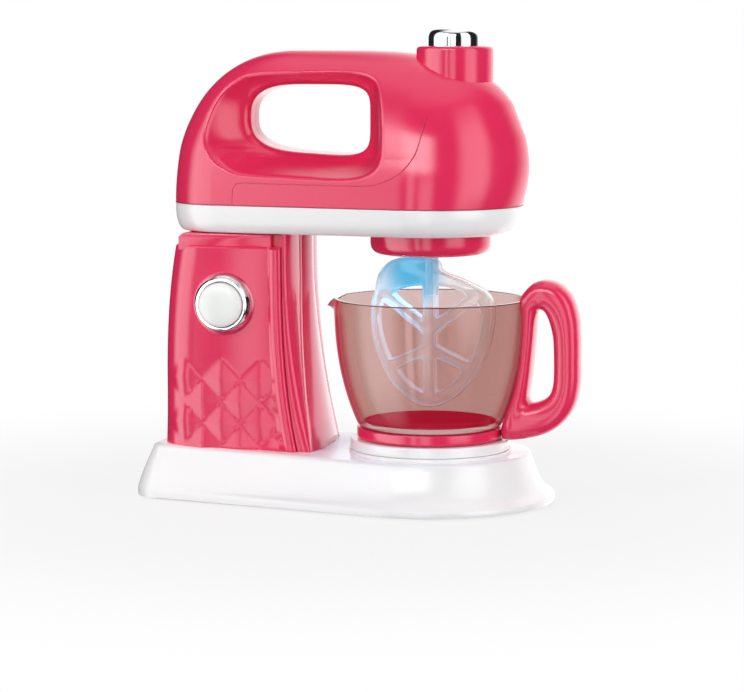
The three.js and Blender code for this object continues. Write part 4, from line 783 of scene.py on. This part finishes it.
def below_top(z):
    """How far down the column a height is, as a share."""
    return max(0.0, COLUMN_TOP - z) / (COLUMN_TOP - COLUMN_BOTTOM)


def column_front(z):
    return COLUMN_FRONT_X + COLUMN_FLARE * below_top(z) ** 2


def column_rear(z):
    up = (min(z, COLUMN_TOP) - COLUMN_WAIST) / (COLUMN_TOP - COLUMN_WAIST)
    return COLUMN_REAR_X + COLUMN_REAR_LEAN * math.copysign(abs(up) ** COLUMN_REAR_POWER, up)


def bead_start(z):
    return BEAD_X + BEAD_FLARE * below_top(z) ** BEAD_POWER


def panel_drop(x):
    """How far the column's slightly crowned side panel lies under its middle line at x."""
    away = (x - PANEL_MIDDLE_X) / PANEL_HALF_WIDTH
    return PANEL_CROWN * min(1.0, abs(away)) ** 2


def facet_height(along, z):
    """Height of the faceted relief at a distance along the side, from its first column."""
    if along > DIAMOND_COLUMNS * DIAMOND_HALF_WIDTH:
        return 0.0
    best = 0.0
    column = along / DIAMOND_HALF_WIDTH
    row = (DIAMOND_TOP_ROW - z) / DIAMOND_HALF_HEIGHT
    for near_column in (math.floor(column), math.floor(column) + 1):
        for near_row in (math.floor(row), math.floor(row) + 1):
            if (near_column + near_row) % 2 or near_row < 0 or near_column >= DIAMOND_COLUMNS:
                continue
            across = math.hypot(column - near_column, RIDGE_SHARE)
            upward = math.hypot(row - near_row, RIDGE_SHARE)
            best = max(best, DIAMOND_HEIGHT * (1 - (across + upward - RIDGE_SHARE)))
    return best


def relief_steps(cells, start=0):
    """Places across the relief in half cells, with a close pair of lines beside each ridge."""
    places = []
    for cell in range(start, cells):
        places += [cell, cell + RIDGE_SHARE]
        places += [cell + share for share in spread(FACET_STEPS, 1)[:-1]]
        places.append(cell + 1 - RIDGE_SHARE)
    return places + [cells]


def rear_point(along, z, inset, height):
    """A place on the rear shell's side, at a distance along it from the relief's first column."""
    corner_x = column_rear(z) + COLUMN_REAR_RADIUS
    corner_y = COLUMN_HALF_WIDTH - COLUMN_REAR_RADIUS
    radius = COLUMN_REAR_RADIUS - inset + height
    flat = DIAMOND_FIRST_X - corner_x
    if along <= flat:
        x = DIAMOND_FIRST_X - along
        return x, corner_y + radius - panel_drop(x)
    turn = (along - flat) / COLUMN_REAR_RADIUS
    drop = panel_drop(corner_x) * (1 - turn / math.pi)
    return corner_x - radius * math.sin(turn), corner_y + radius * math.cos(turn) - drop


def rear_section(z, inset=0):
    """Half of the rear shell's section, from the groove beside the bead to the middle of the back.

    A section that is drawn in by an inset has no bead and no relief.
    """
    def relief(along):
        return 0 if inset else facet_height(along, z)

    start = bead_start(z)
    half = COLUMN_HALF_WIDTH - inset
    bead_height = 0 if inset else BEAD_HEIGHT
    groove_x = start + BEAD_WIDTH
    row = [(groove_x, half - FRONT_INSET - GROOVE_DEPTH), (groove_x, half - GROOVE_EDGE)]
    for share in spread(ROUND_STEPS):
        turn = math.pi * share
        row.append((start + BEAD_WIDTH / 2 * (1 + math.cos(turn)), half + bead_height * math.sin(turn)))
    for share in spread(BEAD_SIDE_STEPS, 1)[:-1]:
        x = between(start, DIAMOND_FIRST_X, share)
        row.append((x, half - panel_drop(x) + relief(DIAMOND_FIRST_X - x)))
    for place in relief_steps(DIAMOND_COLUMNS):
        along = place * DIAMOND_HALF_WIDTH
        row.append(rear_point(along, z, inset, relief(along)))
    rear = column_rear(z)
    relief_end = DIAMOND_COLUMNS * DIAMOND_HALF_WIDTH
    corner_end = DIAMOND_FIRST_X - rear - COLUMN_REAR_RADIUS + COLUMN_REAR_RADIUS * QUARTER_TURN
    for share in spread(ARC_STEPS, 1):
        row.append(rear_point(between(relief_end, corner_end, share), z, inset, 0))
    for share in spread(CORNER_STEPS, 1):
        row.append((rear + inset, (COLUMN_HALF_WIDTH - COLUMN_REAR_RADIUS) * (1 - share)))
    return row


def rear_shape():
    """The rear shell, with its rings close together beside each ridge of the relief."""
    heights = [COLUMN_BOTTOM]
    for place in reversed(relief_steps(DIAMOND_ROWS, -1)):
        z = DIAMOND_TOP_ROW - place * DIAMOND_HALF_HEIGHT
        if z > COLUMN_BOTTOM + RING_GAP:
            heights.append(z)
    plain_bottom = heights[-1]
    heights += [between(plain_bottom, COLUMN_PLAIN_TOP, share) for share in spread(CURVE_STEPS, 1)]
    rings = [mirrored(rear_section(z), z) for z in heights]
    for inset, drop in COLUMN_TOP_EDGE:
        rings.append(mirrored(rear_section(COLUMN_TOP - drop, inset), COLUMN_TOP - drop))
    return capped(rings)


def front_section(z):
    """Half of the front shell's section, from beside the bead to the middle of the front."""
    down = min(1.0, max(0.0, CREASE_FADE - z) / (CREASE_FADE - COLUMN_BOTTOM))
    crease = between(CREASE_TOP_Y, CREASE_BOTTOM_Y, down)
    half = COLUMN_HALF_WIDTH - FRONT_INSET
    front = column_front(z) - FRONT_BULGE
    start = bead_start(z) + BEAD_WIDTH + FRONT_GAP
    edge = np.array([start + FRONT_EDGE_WIDTH, half])
    row = [(start, half - FRONT_WRAP), (start, half - FRONT_EDGE_DROP), tuple(edge)]
    corner, side_end = np.array([front, half]), np.array([front, crease + CREASE_RIDGE])
    row += [tuple(bend(edge, corner, side_end, share)) for share in spread(CURVE_STEPS, 1)]
    for side in (1, -1):
        row.append((front + CREASE_RIDGE, crease + side * CREASE_RIDGE / 3))
    for share in spread(ARC_STEPS, 1):
        row.append((front + FRONT_BULGE * (1 - (1 - share) ** 2), (crease - CREASE_RIDGE) * (1 - share)))
    return row


def front_shape():
    """The front shell, which runs up inside the neck."""
    heights = [between(COLUMN_BOTTOM, NECK_TOP, share) for share in spread(WALL_STEPS)]
    return capped([mirrored(front_section(z), z) for z in heights])


piece_from("column_rear", rear_shape(), "base", "pink_plastic", ["column_rear_shell"], sharp=12)
piece_from("column_front", front_shape(), "base", "pink_plastic", ["column_front_shell"], sharp=12)


# Neck between the column and the head, with a gap for the head's knuckle


def neck_shape(side):
    """One cheek of the neck, with its outer edges rounded."""
    rear = HINGE_X - HINGE_BARREL_RADIUS
    middle = (NECK_FRONT_X + rear) / 2
    outer = COLUMN_HALF_WIDTH - NECK_INSET
    side_view = rounded([
        (NECK_FRONT_X, COLUMN_TOP - NECK_SINK), (NECK_FRONT_X, NECK_TOP, NECK_ROUND),
        (NECK_SLANT_X, NECK_TOP, NECK_ROUND), (rear, NECK_TOP - NECK_SLANT, NECK_ROUND),
        (rear, COLUMN_TOP - NECK_SINK),
    ])
    shrinks = {
        KNUCKLE_GAP: 0, outer - NECK_ROUND: 0, outer - NECK_ROUND / 3: NECK_ROUND_SHRINK, outer: NECK_ROUND,
    }
    rings = []
    for y, shrink in shrinks.items():
        share = 1 - 2 * shrink / (NECK_FRONT_X - rear)
        rings.append(np.array([(between(middle, x, share), side * y, z - shrink) for x, z in side_view]))
    return capped(rings)


for side, name in SIDES:
    piece_from(f"neck_{name}", neck_shape(side), "base", "pink_plastic", sharp=30)

piece_from("neck_core", block(*NECK_CORE), "base", "pink_plastic")


# Power button

ring_outline = [(radius, -COLUMN_HALF_WIDTH - height, *rest) for radius, height, *rest in RING_OUTLINE]
power_ring = turned(rounded(ring_outline), (POWER_X, POWER_Z), "y")
piece_from("power_ring", power_ring, "base", "chrome", ["button_ring"])

cap_profile = dome_profile(CAP_RADIUS, -COLUMN_HALF_WIDTH - CAP_RIM, -CAP_CROWN, CAP_STEPS)
cap_profile += [(CAP_RADIUS, CAP_SINK - COLUMN_HALF_WIDTH), (0, CAP_SINK - COLUMN_HALF_WIDTH)]
power_cap = turned(cap_profile, (POWER_X, POWER_Z), "y")
piece_from("power_cap", power_cap, "power_button", "milky_plastic", ["power_button"])


# Tray of the head, and the knuckle under it that turns on the hinge pin


def head_ring(inset, z):
    return ring_round([
        (BOWL_X, 0, HEAD_FRONT_RADIUS - inset), (HEAD_REAR_X, 0, HEAD_REAR_RADIUS - inset * TRAY_REAR_SHARE),
    ], z)


def tray_shape():
    """The band under the head's shells, with a rounded underside."""
    rings = [head_ring(TRAY_FOOT_INSET, TRAY_BOTTOM)]
    for share in spread(CURVE_STEPS):
        turn = share * QUARTER_TURN
        inset = TRAY_SKIN_INSET + TRAY_INSET * (1 - math.sin(turn))
        rings.append(head_ring(inset, TRAY_BOTTOM + TRAY_ROUND * (1 - math.cos(turn))))
    rings += [head_ring(inset, TRAY_TOP - drop) for inset, drop in TRAY_EDGE]
    return capped(rings)


piece_from("head_band", tray_shape(), "head", "white_plastic", ["head_tray"])
knuckle = turned(rounded(KNUCKLE_OUTLINE), (HINGE_X, HINGE_Z), "y", KNUCKLE_SIDES)
piece_from("head_knuckle", knuckle, "head", "white_plastic")
piece_from("head_knuckle_web", block(*KNUCKLE_WEB), "head", "white_plastic")


# Shells of the head, with the grip hole and the dish round it


def head_half_width(x):
    """Half width of the head's plan: two circles and the straight sides that join them."""
    lean = (HEAD_FRONT_RADIUS - HEAD_REAR_RADIUS) / (BOWL_X - HEAD_REAR_X)
    middle = (HEAD_FRONT_RADIUS + lean * (x - BOWL_X)) / math.sqrt(1 - lean * lean)
    front = np.sqrt(np.maximum(0, HEAD_FRONT_RADIUS ** 2 - (x - BOWL_X) ** 2))
    rear = np.sqrt(np.maximum(0, HEAD_REAR_RADIUS ** 2 - (x - HEAD_REAR_X) ** 2))
    at_front = x > BOWL_X - HEAD_FRONT_RADIUS * lean
    at_rear = x < HEAD_REAR_X - HEAD_REAR_RADIUS * lean
    return np.where(at_front, front, np.where(at_rear, rear, middle))


def nose_share(x):
    """How far a place is on the way from the dome's crown to the tip of the nose."""
    return np.clip((x - DOME_FRONT_CROWN_X) / (BOWL_X + HEAD_FRONT_RADIUS - DOME_FRONT_CROWN_X), 0, 1)


def head_height(x):
    rear_reach = DOME_REAR_CROWN_X - HEAD_REAR_X + HEAD_REAR_RADIUS
    back = np.clip((DOME_REAR_CROWN_X - x) / rear_reach, 0, 1)
    rear = (1 - back ** DOME_REAR_POWER) ** (1 / DOME_REAR_POWER)
    front = (1 - nose_share(x) ** DOME_FRONT_POWER) ** (1 / DOME_FRONT_POWER)
    return DOME_HEIGHT * np.where(x < DOME_REAR_CROWN_X, rear, front) + TRAY_TOP - SHELL_BOTTOM


def dome_side(x, z):
    """Half width of the plain dome at a place in its side view."""
    share = np.clip((z - SHELL_BOTTOM) / np.maximum(head_height(x), SEAM_GAP), 0, 1)
    return head_half_width(x) * (1 - share ** DOME_ARCH_POWER) ** (1 / DOME_ARCH_POWER)


def nose_swell(x, z):
    """How far the nose swells out over the seam at a place in the side view."""
    risen = np.clip((z - SHELL_BOTTOM) / NOSE_SWELL_HEIGHT, 0, 1)
    return NOSE_SWELL_REACH * nose_share(x) ** NOSE_SWELL_POWER * risen * (2 - risen)


def grip_frame(opened):
    """Middle and half sizes of the grip hole, opened by a share of the dish's growth round it."""
    rear, front, bottom, top = [edge + growth * opened for edge, growth in zip(GRIP_EDGES, DISH_GROWTH)]
    return (rear + front) / 2, (front - rear) / 2, (bottom + top) / 2, (top - bottom) / 2


grip_centre_x, grip_reach_x, grip_centre_z, grip_reach_z = grip_frame(0)


def grip_power(x, centre_x):
    """Squareness of the hole's outline, which is rounder at the rear."""
    return np.where(x < centre_x, GRIP_REAR_POWER, GRIP_FRONT_POWER)


def grip_tilt(x, z):
    """How far the hole's lower edge dips at a place, as it slopes down towards the nose."""
    under = (grip_centre_z - z) / grip_reach_z
    share = np.clip(under, 0, 1) * np.clip(1 - (under - 1) * grip_reach_z / GRIP_TILT_FADE, 0, 1)
    return GRIP_TILT * np.clip((x - grip_centre_x) / grip_reach_x, -1, 1) * share


def grip_depth(x):
    """Half the depth of the hole's wall at x, which is thinner towards the rear."""
    behind = np.clip((grip_centre_x - x) / grip_reach_x, 0, 1)
    return between(GRIP_HALF_DEPTH, GRIP_REAR_DEPTH, behind ** 2)


def dish_spread(x, z):
    """How far the dish has opened at a place in the side view: 0 at the edge of the hole."""
    def outside(opened):
        centre_x, reach_x, centre_z, reach_z = grip_frame(opened)
        power = grip_power(x, centre_x)
        return np.abs((x - centre_x) / reach_x) ** power + np.abs((z - centre_z) / reach_z) ** power > 1

    return last_holding(outside, np.zeros_like(x), np.full_like(x, DISH_SPREAD_LIMIT))


def head_side(x, z, off_hole):
    """Half width of the head with its dish; off_hole is the distance from the hole's edge."""
    inward = np.clip(1 - off_hole / GRIP_FILLET, 0, 1)
    fillet = GRIP_FILLET * (1 - np.sqrt(1 - inward ** 2))
    dish = grip_depth(x) + DISH_DEPTH * dish_spread(x, z) ** DISH_POWER - fillet
    dome = dome_side(x, z)
    blend = np.clip(0.5 + 0.5 * (dish - dome) / DISH_RIM_ROUND, 0, 1)
    smooth = dish * (1 - blend) + dome * blend - DISH_RIM_ROUND * blend * (1 - blend)
    return np.maximum(smooth, SEAM_GAP)


def half_head():
    """Points and faces of the shell on the +Y side, in rays from the hole's edge to the head's outline."""
    angles = (np.arange(ANGLE_STEPS) + 0.5) * FULL_TURN / ANGLE_STEPS
    # The rays are spread evenly along the hole's edge, which is a rounded box
    cosine, sine = np.cos(angles), np.sin(angles)
    power = grip_power(cosine, 0)
    ray_x = grip_reach_x * np.sign(cosine) * np.abs(cosine) ** (2 / power)
    ray_z = grip_reach_z * np.sign(sine) * np.abs(sine) ** (2 / power)
    hole_x, hole_z = grip_centre_x + ray_x, grip_centre_z + ray_z

    def within(stretch):
        x, z = grip_centre_x + ray_x * stretch, grip_centre_z + ray_z * stretch
        between_ends = (x > HEAD_REAR_X - HEAD_REAR_RADIUS) & (x < BOWL_X + HEAD_FRONT_RADIUS)
        return between_ends & (z > SHELL_BOTTOM) & (z - SHELL_BOTTOM < head_height(x))

    past_hole = last_holding(within, np.ones(ANGLE_STEPS), np.full(ANGLE_STEPS, RAY_LIMIT)) - 1
    across_x, across_z = ray_x * past_hole, ray_z * past_hole
    across = np.hypot(across_x, across_z)
    seam = np.full(ANGLE_STEPS, SEAM_GAP)
    rows = [np.stack([hole_x, seam, hole_z], 1)]
    for share in GRIP_WALL_SHARES:
        rows.append(np.stack([hole_x, (grip_depth(hole_x) - GRIP_FILLET) * share, hole_z], 1))
    for step in spread(RADIAL_STEPS):
        share = (1 - math.cos(math.pi * step ** RADIAL_POWER)) / 2
        x, z = hole_x + across_x * share, hole_z + across_z * share
        rows.append(np.stack([x, head_side(x, z, across * share), z], 1))
    rows.append(np.stack([hole_x + across_x, seam, hole_z + across_z], 1))
    points = np.concatenate(rows)
    tilt = grip_tilt(points[:, 0], points[:, 2])
    points[:, 0] += nose_swell(points[:, 0], points[:, 2])
    points[:, 2] -= tilt
    return points, grid_faces(len(rows), ANGLE_STEPS, joined=True)


half_points, half_faces = half_head()
for side, name in SIDES:
    shell = half_points * [1, side, 1], half_faces
    piece_from(f"head_{name}", shell, "head", "pink_plastic", [f"head_{name}_shell"], sharp=50)

# A thin dark bar along the seam: painted shadow, where the gap between the band and the shells lies in shade
seam_path = head_ring(SEAM_LINE_INSET, (TRAY_TOP + SHELL_BOTTOM) / 2)
tube("head_seam_line", seam_path, SEAM_LINE_RADIUS, "head", "pink_plastic", "seam_painted_shade")

# The panel lines are thin bars in a darker pink: painted shade where the fine lines lie in shade
line_corners = np.array(rounded(PANEL_LINE))
line_places = [
    between(here, following, share)
    for here, following in zip(line_corners[:-1], line_corners[1:])
    for share in spread(PANEL_LINE_STEPS)[:-1]
]
line_x, line_z = np.array(line_places + [line_corners[-1]]).T
line_y = head_side(line_x, line_z, np.full_like(line_x, GRIP_FILLET))
for side, name in SIDES:
    line = np.stack([line_x + nose_swell(line_x, line_z), side * line_y, line_z], 1)
    tube(f"head_line_{name}", line, PANEL_LINE_RADIUS, "head", "pink_plastic", "panel_line_painted_shade", closed=False)


# Collar, top button, hub and lamp

turned_piece("button_boss", COLLAR_OUTLINE, COLLAR_X, "head", "pink_plastic", ["button_collar"])
turned_piece("top_cap", TOP_BUTTON_OUTLINE, COLLAR_X, "top_button", "chrome", ["top_button"],
             steps=ARC_STEPS)
turned_piece("hub", HUB_OUTLINE, BOWL_X, "head", "pink_plastic", ["drive_hub"], steps=ROUND_STEPS)

lens = dome_profile(LAMP_RADIUS, LAMP_BOTTOM + LAMP_RADIUS, -LAMP_RADIUS, ROUND_STEPS)
lens += [(LAMP_RADIUS, LAMP_TOP), (0, LAMP_TOP)]
lamp = turned_piece("lamp_lens", lens, LAMP_X, "head", "lamp_blue", ["lamp"], sides=SMALL_SIDES)
for lamp_place in lamp_places:
    lamp_place.object = lamp


# Bowl


def bowl_radius(z):
    share = np.clip((z - BOWL_BOTTOM) / (BOWL_TOP - BOWL_BOTTOM), 0, 1)
    return float(between(BOWL_BOTTOM_RADIUS, BOWL_RIM_RADIUS, 1 - (1 - share) ** (1 / BOWL_BELLY)))


def spouted(points):
    """Points of the bowl with the pouring spout drawn out of its rim."""
    points = np.array(points, float)
    turn = np.arctan2(points[:, 1], -(points[:, 0] - BOWL_X))
    near = np.clip(1 - np.abs(turn) / SPOUT_HALF_ANGLE, 0, 1)
    high = np.clip((points[:, 2] - BOWL_TOP + SPOUT_HEIGHT) / SPOUT_HEIGHT, 0, 1)
    outside = np.hypot(points[:, 0] - BOWL_X, points[:, 1]) > BOWL_BOTTOM_RADIUS
    beak = np.where(outside, near ** SPOUT_SIDE_POWER * high ** SPOUT_RISE_POWER, 0)
    points[:, 0] -= SPOUT_REACH * beak
    points[:, 2] -= SPOUT_DROP * beak * high
    return points


def bowl_shape():
    """The bowl's wall and floor: up its outside, over the rim and down its inside."""
    below_rim = BOWL_TOP - BOWL_RIM_DROP
    inner_rim = BOWL_RIM_RADIUS - BOWL_WALL
    floor_top = BOWL_BOTTOM + BOWL_WALL
    profile = [(0, BOWL_BOTTOM)]
    profile += [(BOWL_BOTTOM_RADIUS - inset, BOWL_BOTTOM + rise) for inset, rise in BOWL_BOTTOM_EDGE]
    for share in spread(WALL_STEPS, 1):
        z = between(BOWL_BOTTOM, below_rim, share)
        profile.append((bowl_radius(z), z))
    profile += [(BOWL_RIM_RADIUS - inset, BOWL_TOP - drop) for inset, drop in BOWL_RIM_EDGE]
    profile += [(inner_rim + inset, BOWL_TOP - drop) for inset, drop in reversed(BOWL_RIM_EDGE)]
    for share in spread(WALL_STEPS):
        z = between(below_rim, BOWL_INNER_BOTTOM, share)
        profile.append((bowl_radius(z) - BOWL_WALL, z))
    profile += rounded([
        (bowl_radius(BOWL_CORNER_TOP) - BOWL_WALL, BOWL_CORNER_TOP),
        (BOWL_CORNER_RADIUS, floor_top, BOWL_CORNER_ROUND), (BOWL_FLOOR_RADIUS, floor_top),
    ])
    points, faces = turned(profile + [(0, floor_top)], (BOWL_X, 0), sides=RING_POINTS)
    return spouted(points), faces


bowl = piece_from("bowl_glass", bowl_shape(), "bowl", "smoke_plastic", ["bowl_shell"])
bowl.visible_shadow = False
bowl.data.materials.append(finishes["smoke_inner"])
for polygon in bowl.data.polygons:
    outward = polygon.center - Vector((BOWL_X * MILLIMETRE, 0, polygon.center.z))
    if polygon.normal.dot(outward) < 0:
        polygon.material_index = 1

rim_circle = (BOWL_X, 0, BOWL_RIM_RADIUS - RIM_LINE_RADIUS)
rim_path = spouted(ring_round([rim_circle], BOWL_TOP - RIM_LINE_RADIUS, FINE_SIDES))
tube("bowl_rim_line", rim_path, RIM_LINE_RADIUS, "bowl", "smoke_plastic", "bowl_rim_line")
turned_piece("bowl_floor", BOWL_FLOOR_OUTLINE, BOWL_X, "bowl", "smoke_plastic", finish="bowl_floor_tint")
turned_piece("bowl_base", FOOT_OUTLINE, BOWL_X, "bowl", "pink_plastic", ["bowl_foot"])


# Bowl handle


def handle_shape():
    """A rounded loop between its outer outline and the outline of its hole."""
    outer = smooth_loop(HANDLE_OUTLINE, ARC_STEPS)
    inner = smooth_loop(HANDLE_HOLE, ARC_STEPS)
    rings = []
    for side in range(HANDLE_SIDES):
        turn = FULL_TURN * side / HANDLE_SIDES
        along = math.copysign(abs(math.cos(turn)) ** HANDLE_POWER, math.cos(turn))
        out = math.copysign(abs(math.sin(turn)) ** HANDLE_POWER, math.sin(turn))
        flat = (outer + inner) / 2 + (outer - inner) / 2 * along
        y = np.full(len(flat), HANDLE_HALF_THICKNESS * out)
        rings.append(np.stack([BOWL_X + flat[:, 0], y, flat[:, 1]], 1))
    return np.concatenate(rings), grid_faces(HANDLE_SIDES, len(outer), joined=True)


piece_from("bowl_grip", handle_shape(), "bowl", "pink_plastic", ["bowl_handle"])


# Beater: a flat leaf with windows, thin raised rims along every edge, and a stem


def leaf_outlines():
    """The leaf's outline, and then its windows in pairs, one each side of the stem."""
    outlines = [loop_with_round_corners(LEAF_OUTLINE, LEAF_ROUND_SHARE)]
    for window in LEAF_WINDOWS:
        for half in (window, [(-x, z) for x, z in window]):
            outlines.append(loop_with_round_corners(half, WINDOW_ROUND_SHARE))
    return outlines


def leaf_shape(outlines):
    """The leaf as a plate, stood up on the beater's axis."""
    paths = [[(x, z, 0) for x, z in outline] for outline in outlines]
    mesh = curve_mesh("leaf_outline", paths, BEATER_BEVEL, closed=True, plate_thickness=BEATER_THICKNESS)
    places = [[value / MILLIMETRE for value in vertex.co] for vertex in mesh.vertices]
    points = [(BOWL_X + along, -out, up) for along, up, out in places]
    return points, [tuple(polygon.vertices) for polygon in mesh.polygons]


outlines = leaf_outlines()
leaf = piece_from("beater_leaf", leaf_shape(outlines), "beater", "clear_plastic", ["beater"], sharp=30)
# The side walls of the leaf take the denser white skin, a painted highlight
leaf.data.materials.append(finishes["clear_side_painted_highlight"])
for polygon in leaf.data.polygons:
    if abs(polygon.normal.y) < LEAF_FACE_SHARE:
        polygon.material_index = 1
beater_pieces = [leaf]
for number, outline in enumerate(outlines, 1):
    for side, name in SIDES:
        path = [(BOWL_X + x, side * BEATER_THICKNESS / 2, z) for x, z in outline]
        beater_pieces.append(
            tube(f"beater_rim_{number}_{name}", path, BEATER_RIM, "beater", "clear_plastic", "clear_rim"))
beater_pieces.append(
    turned_piece("beater_stem", STEM_OUTLINE, BOWL_X, "beater", "clear_plastic", sides=SMALL_SIDES))
for piece in beater_pieces:
    piece.visible_shadow = False


# Floor: it keeps the object's shadow, and fades to white away from it


def floor_material():
    """White paper to the camera, with the object's shadow on it; plain grey paper to the light."""
    material = new_material("floor_paper")
    tree = material.node_tree
    paper = tree.nodes["Principled BSDF"]
    fill(tree, paper, {
        "Base Color": (FLOOR_GREY, FLOOR_GREY, FLOOR_GREY, 1), "Roughness": FLOOR_ROUGHNESS,
        "Specular IOR Level": 0,
    })
    glow = added(tree, "Emission", {"Color": WHITE, "Strength": 1})
    away = added(tree, "VectorMath", {0: object_place(tree)}, operation="LENGTH").outputs["Value"]
    fade = soft_step(tree, away, FLOOR_FADE_START * MILLIMETRE, FLOOR_FADE_END * MILLIMETRE,
                     1 - FLOOR_SHADE_SHARE, 1)
    white_share = calculated(tree, "MULTIPLY", seen_or_through(tree), fade)
    surface = mixed(tree, white_share, paper.outputs[0], glow.outputs[0])
    fill(tree, tree.nodes["Material Output"], {"Surface": surface})
    return material


def seen_or_through(tree):
    """1 where a ray comes from the camera or through a clear piece, and else 0."""
    rays = added(tree, "LightPath", {})
    return calculated(tree, "MAXIMUM", rays.outputs["Is Camera Ray"], rays.outputs["Is Transmission Ray"])


floor_mesh = bpy.data.meshes.new("floor")
reach = FLOOR_REACH * MILLIMETRE
corners = [(-reach, -reach, 0), (reach, -reach, 0), (reach, reach, 0), (-reach, reach, 0)]
floor_mesh.from_pydata(corners, [], [(0, 1, 2, 3)])
floor_mesh.materials.append(floor_material())
floor = linked("floor", floor_mesh)
floor.visible_glossy = False


# Studio: even light for the surfaces, soft strips for their gloss, and white behind the object


def strip_brightness(tree, bearing, height, strip):
    """Brightness that one soft-edged strip of the studio adds in a direction."""
    azimuth, elevation, half_width, half_height, strength = strip
    turn = calculated(tree, "SUBTRACT", bearing, math.radians(azimuth))
    turn = calculated(tree, "ABSOLUTE", calculated(tree, "WRAP", turn, math.pi, -math.pi))
    rise = calculated(tree, "ABSOLUTE", calculated(tree, "SUBTRACT", height, math.radians(elevation)))
    inside = [
        soft_step(tree, away, half * (1 + SOFT_EDGE_SHARE), half * (1 - SOFT_EDGE_SHARE))
        for away, half in ((turn, math.radians(half_width)), (rise, math.radians(half_height)))
    ]
    return calculated(tree, "MULTIPLY", calculated(tree, "MULTIPLY", *inside), strength)


def background(tree, strength):
    return added(tree, "Background", {"Color": WHITE, "Strength": strength}).outputs[0]


def build_studio():
    world = bpy.data.worlds.new("studio")
    bpy.context.scene.world = world
    world.use_nodes = True
    world.cycles.sampling_method = "NONE"
    tree = world.node_tree
    direction = added(tree, "TexCoord", {}).outputs["Generated"]
    parts = added(tree, "SeparateXYZ", {0: direction}).outputs
    bearing = calculated(tree, "ARCTAN2", parts["Y"], parts["X"])
    height = calculated(tree, "ARCSINE", parts["Z"])
    brightness = GLOSS_BASE
    for strip in STUDIO:
        brightness = calculated(tree, "ADD", strip_brightness(tree, bearing, height, strip), brightness)
    glossy = added(tree, "LightPath", {}).outputs["Is Glossy Ray"]
    plain = tree.nodes["Background"]
    fill(tree, plain, {"Color": WHITE, "Strength": WORLD_LIGHT})
    lighting = mixed(tree, glossy, plain.outputs[0], background(tree, brightness))
    surface = mixed(tree, seen_or_through(tree), lighting, background(tree, 1))
    fill(tree, tree.nodes["World Output"], {"Surface": surface})


build_studio()


# Lamps


def softbox(name, place, size, power):
    """A square soft lamp that faces the object, and that gloss doesn't show."""
    light = bpy.data.lights.new(name, "AREA")
    light.size = size * MILLIMETRE
    light.energy = power
    lamp = linked(name, light)
    lamp.location = Vector(place) * MILLIMETRE
    lamp.rotation_euler = (Vector(SOFTBOX_TARGET) - Vector(place)).to_track_quat("-Z", "Y").to_euler()
    lamp.visible_glossy = False


for box in SOFTBOXES:
    softbox(*box)

spot_light = bpy.data.lights.new("lamp_glow", "SPOT")
for setting, value in SPOT.items():
    setattr(spot_light, setting, value)
spot = linked("lamp_glow", spot_light)
spot.location = Vector(SPOT_PLACE) * MILLIMETRE
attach(spot, "head")


# Camera

camera_data = bpy.data.cameras.new("camera")
camera_data.lens = CAMERA_LENS
camera_data.sensor_width = SENSOR_WIDTH
camera = linked("camera", camera_data)
azimuth, elevation = math.radians(CAMERA_AZIMUTH), math.radians(CAMERA_ELEVATION)
level_back = math.cos(elevation)
back = Vector((math.sin(azimuth) * level_back, -math.cos(azimuth) * level_back, math.sin(elevation)))
camera.location = (Vector(CAMERA_TARGET) + back * CAMERA_DISTANCE) * MILLIMETRE
camera.rotation_euler = back.to_track_quat("Z", "Y").to_euler()
bpy.context.scene.camera = camera
bpy.context.scene.view_settings.view_transform = "Standard"
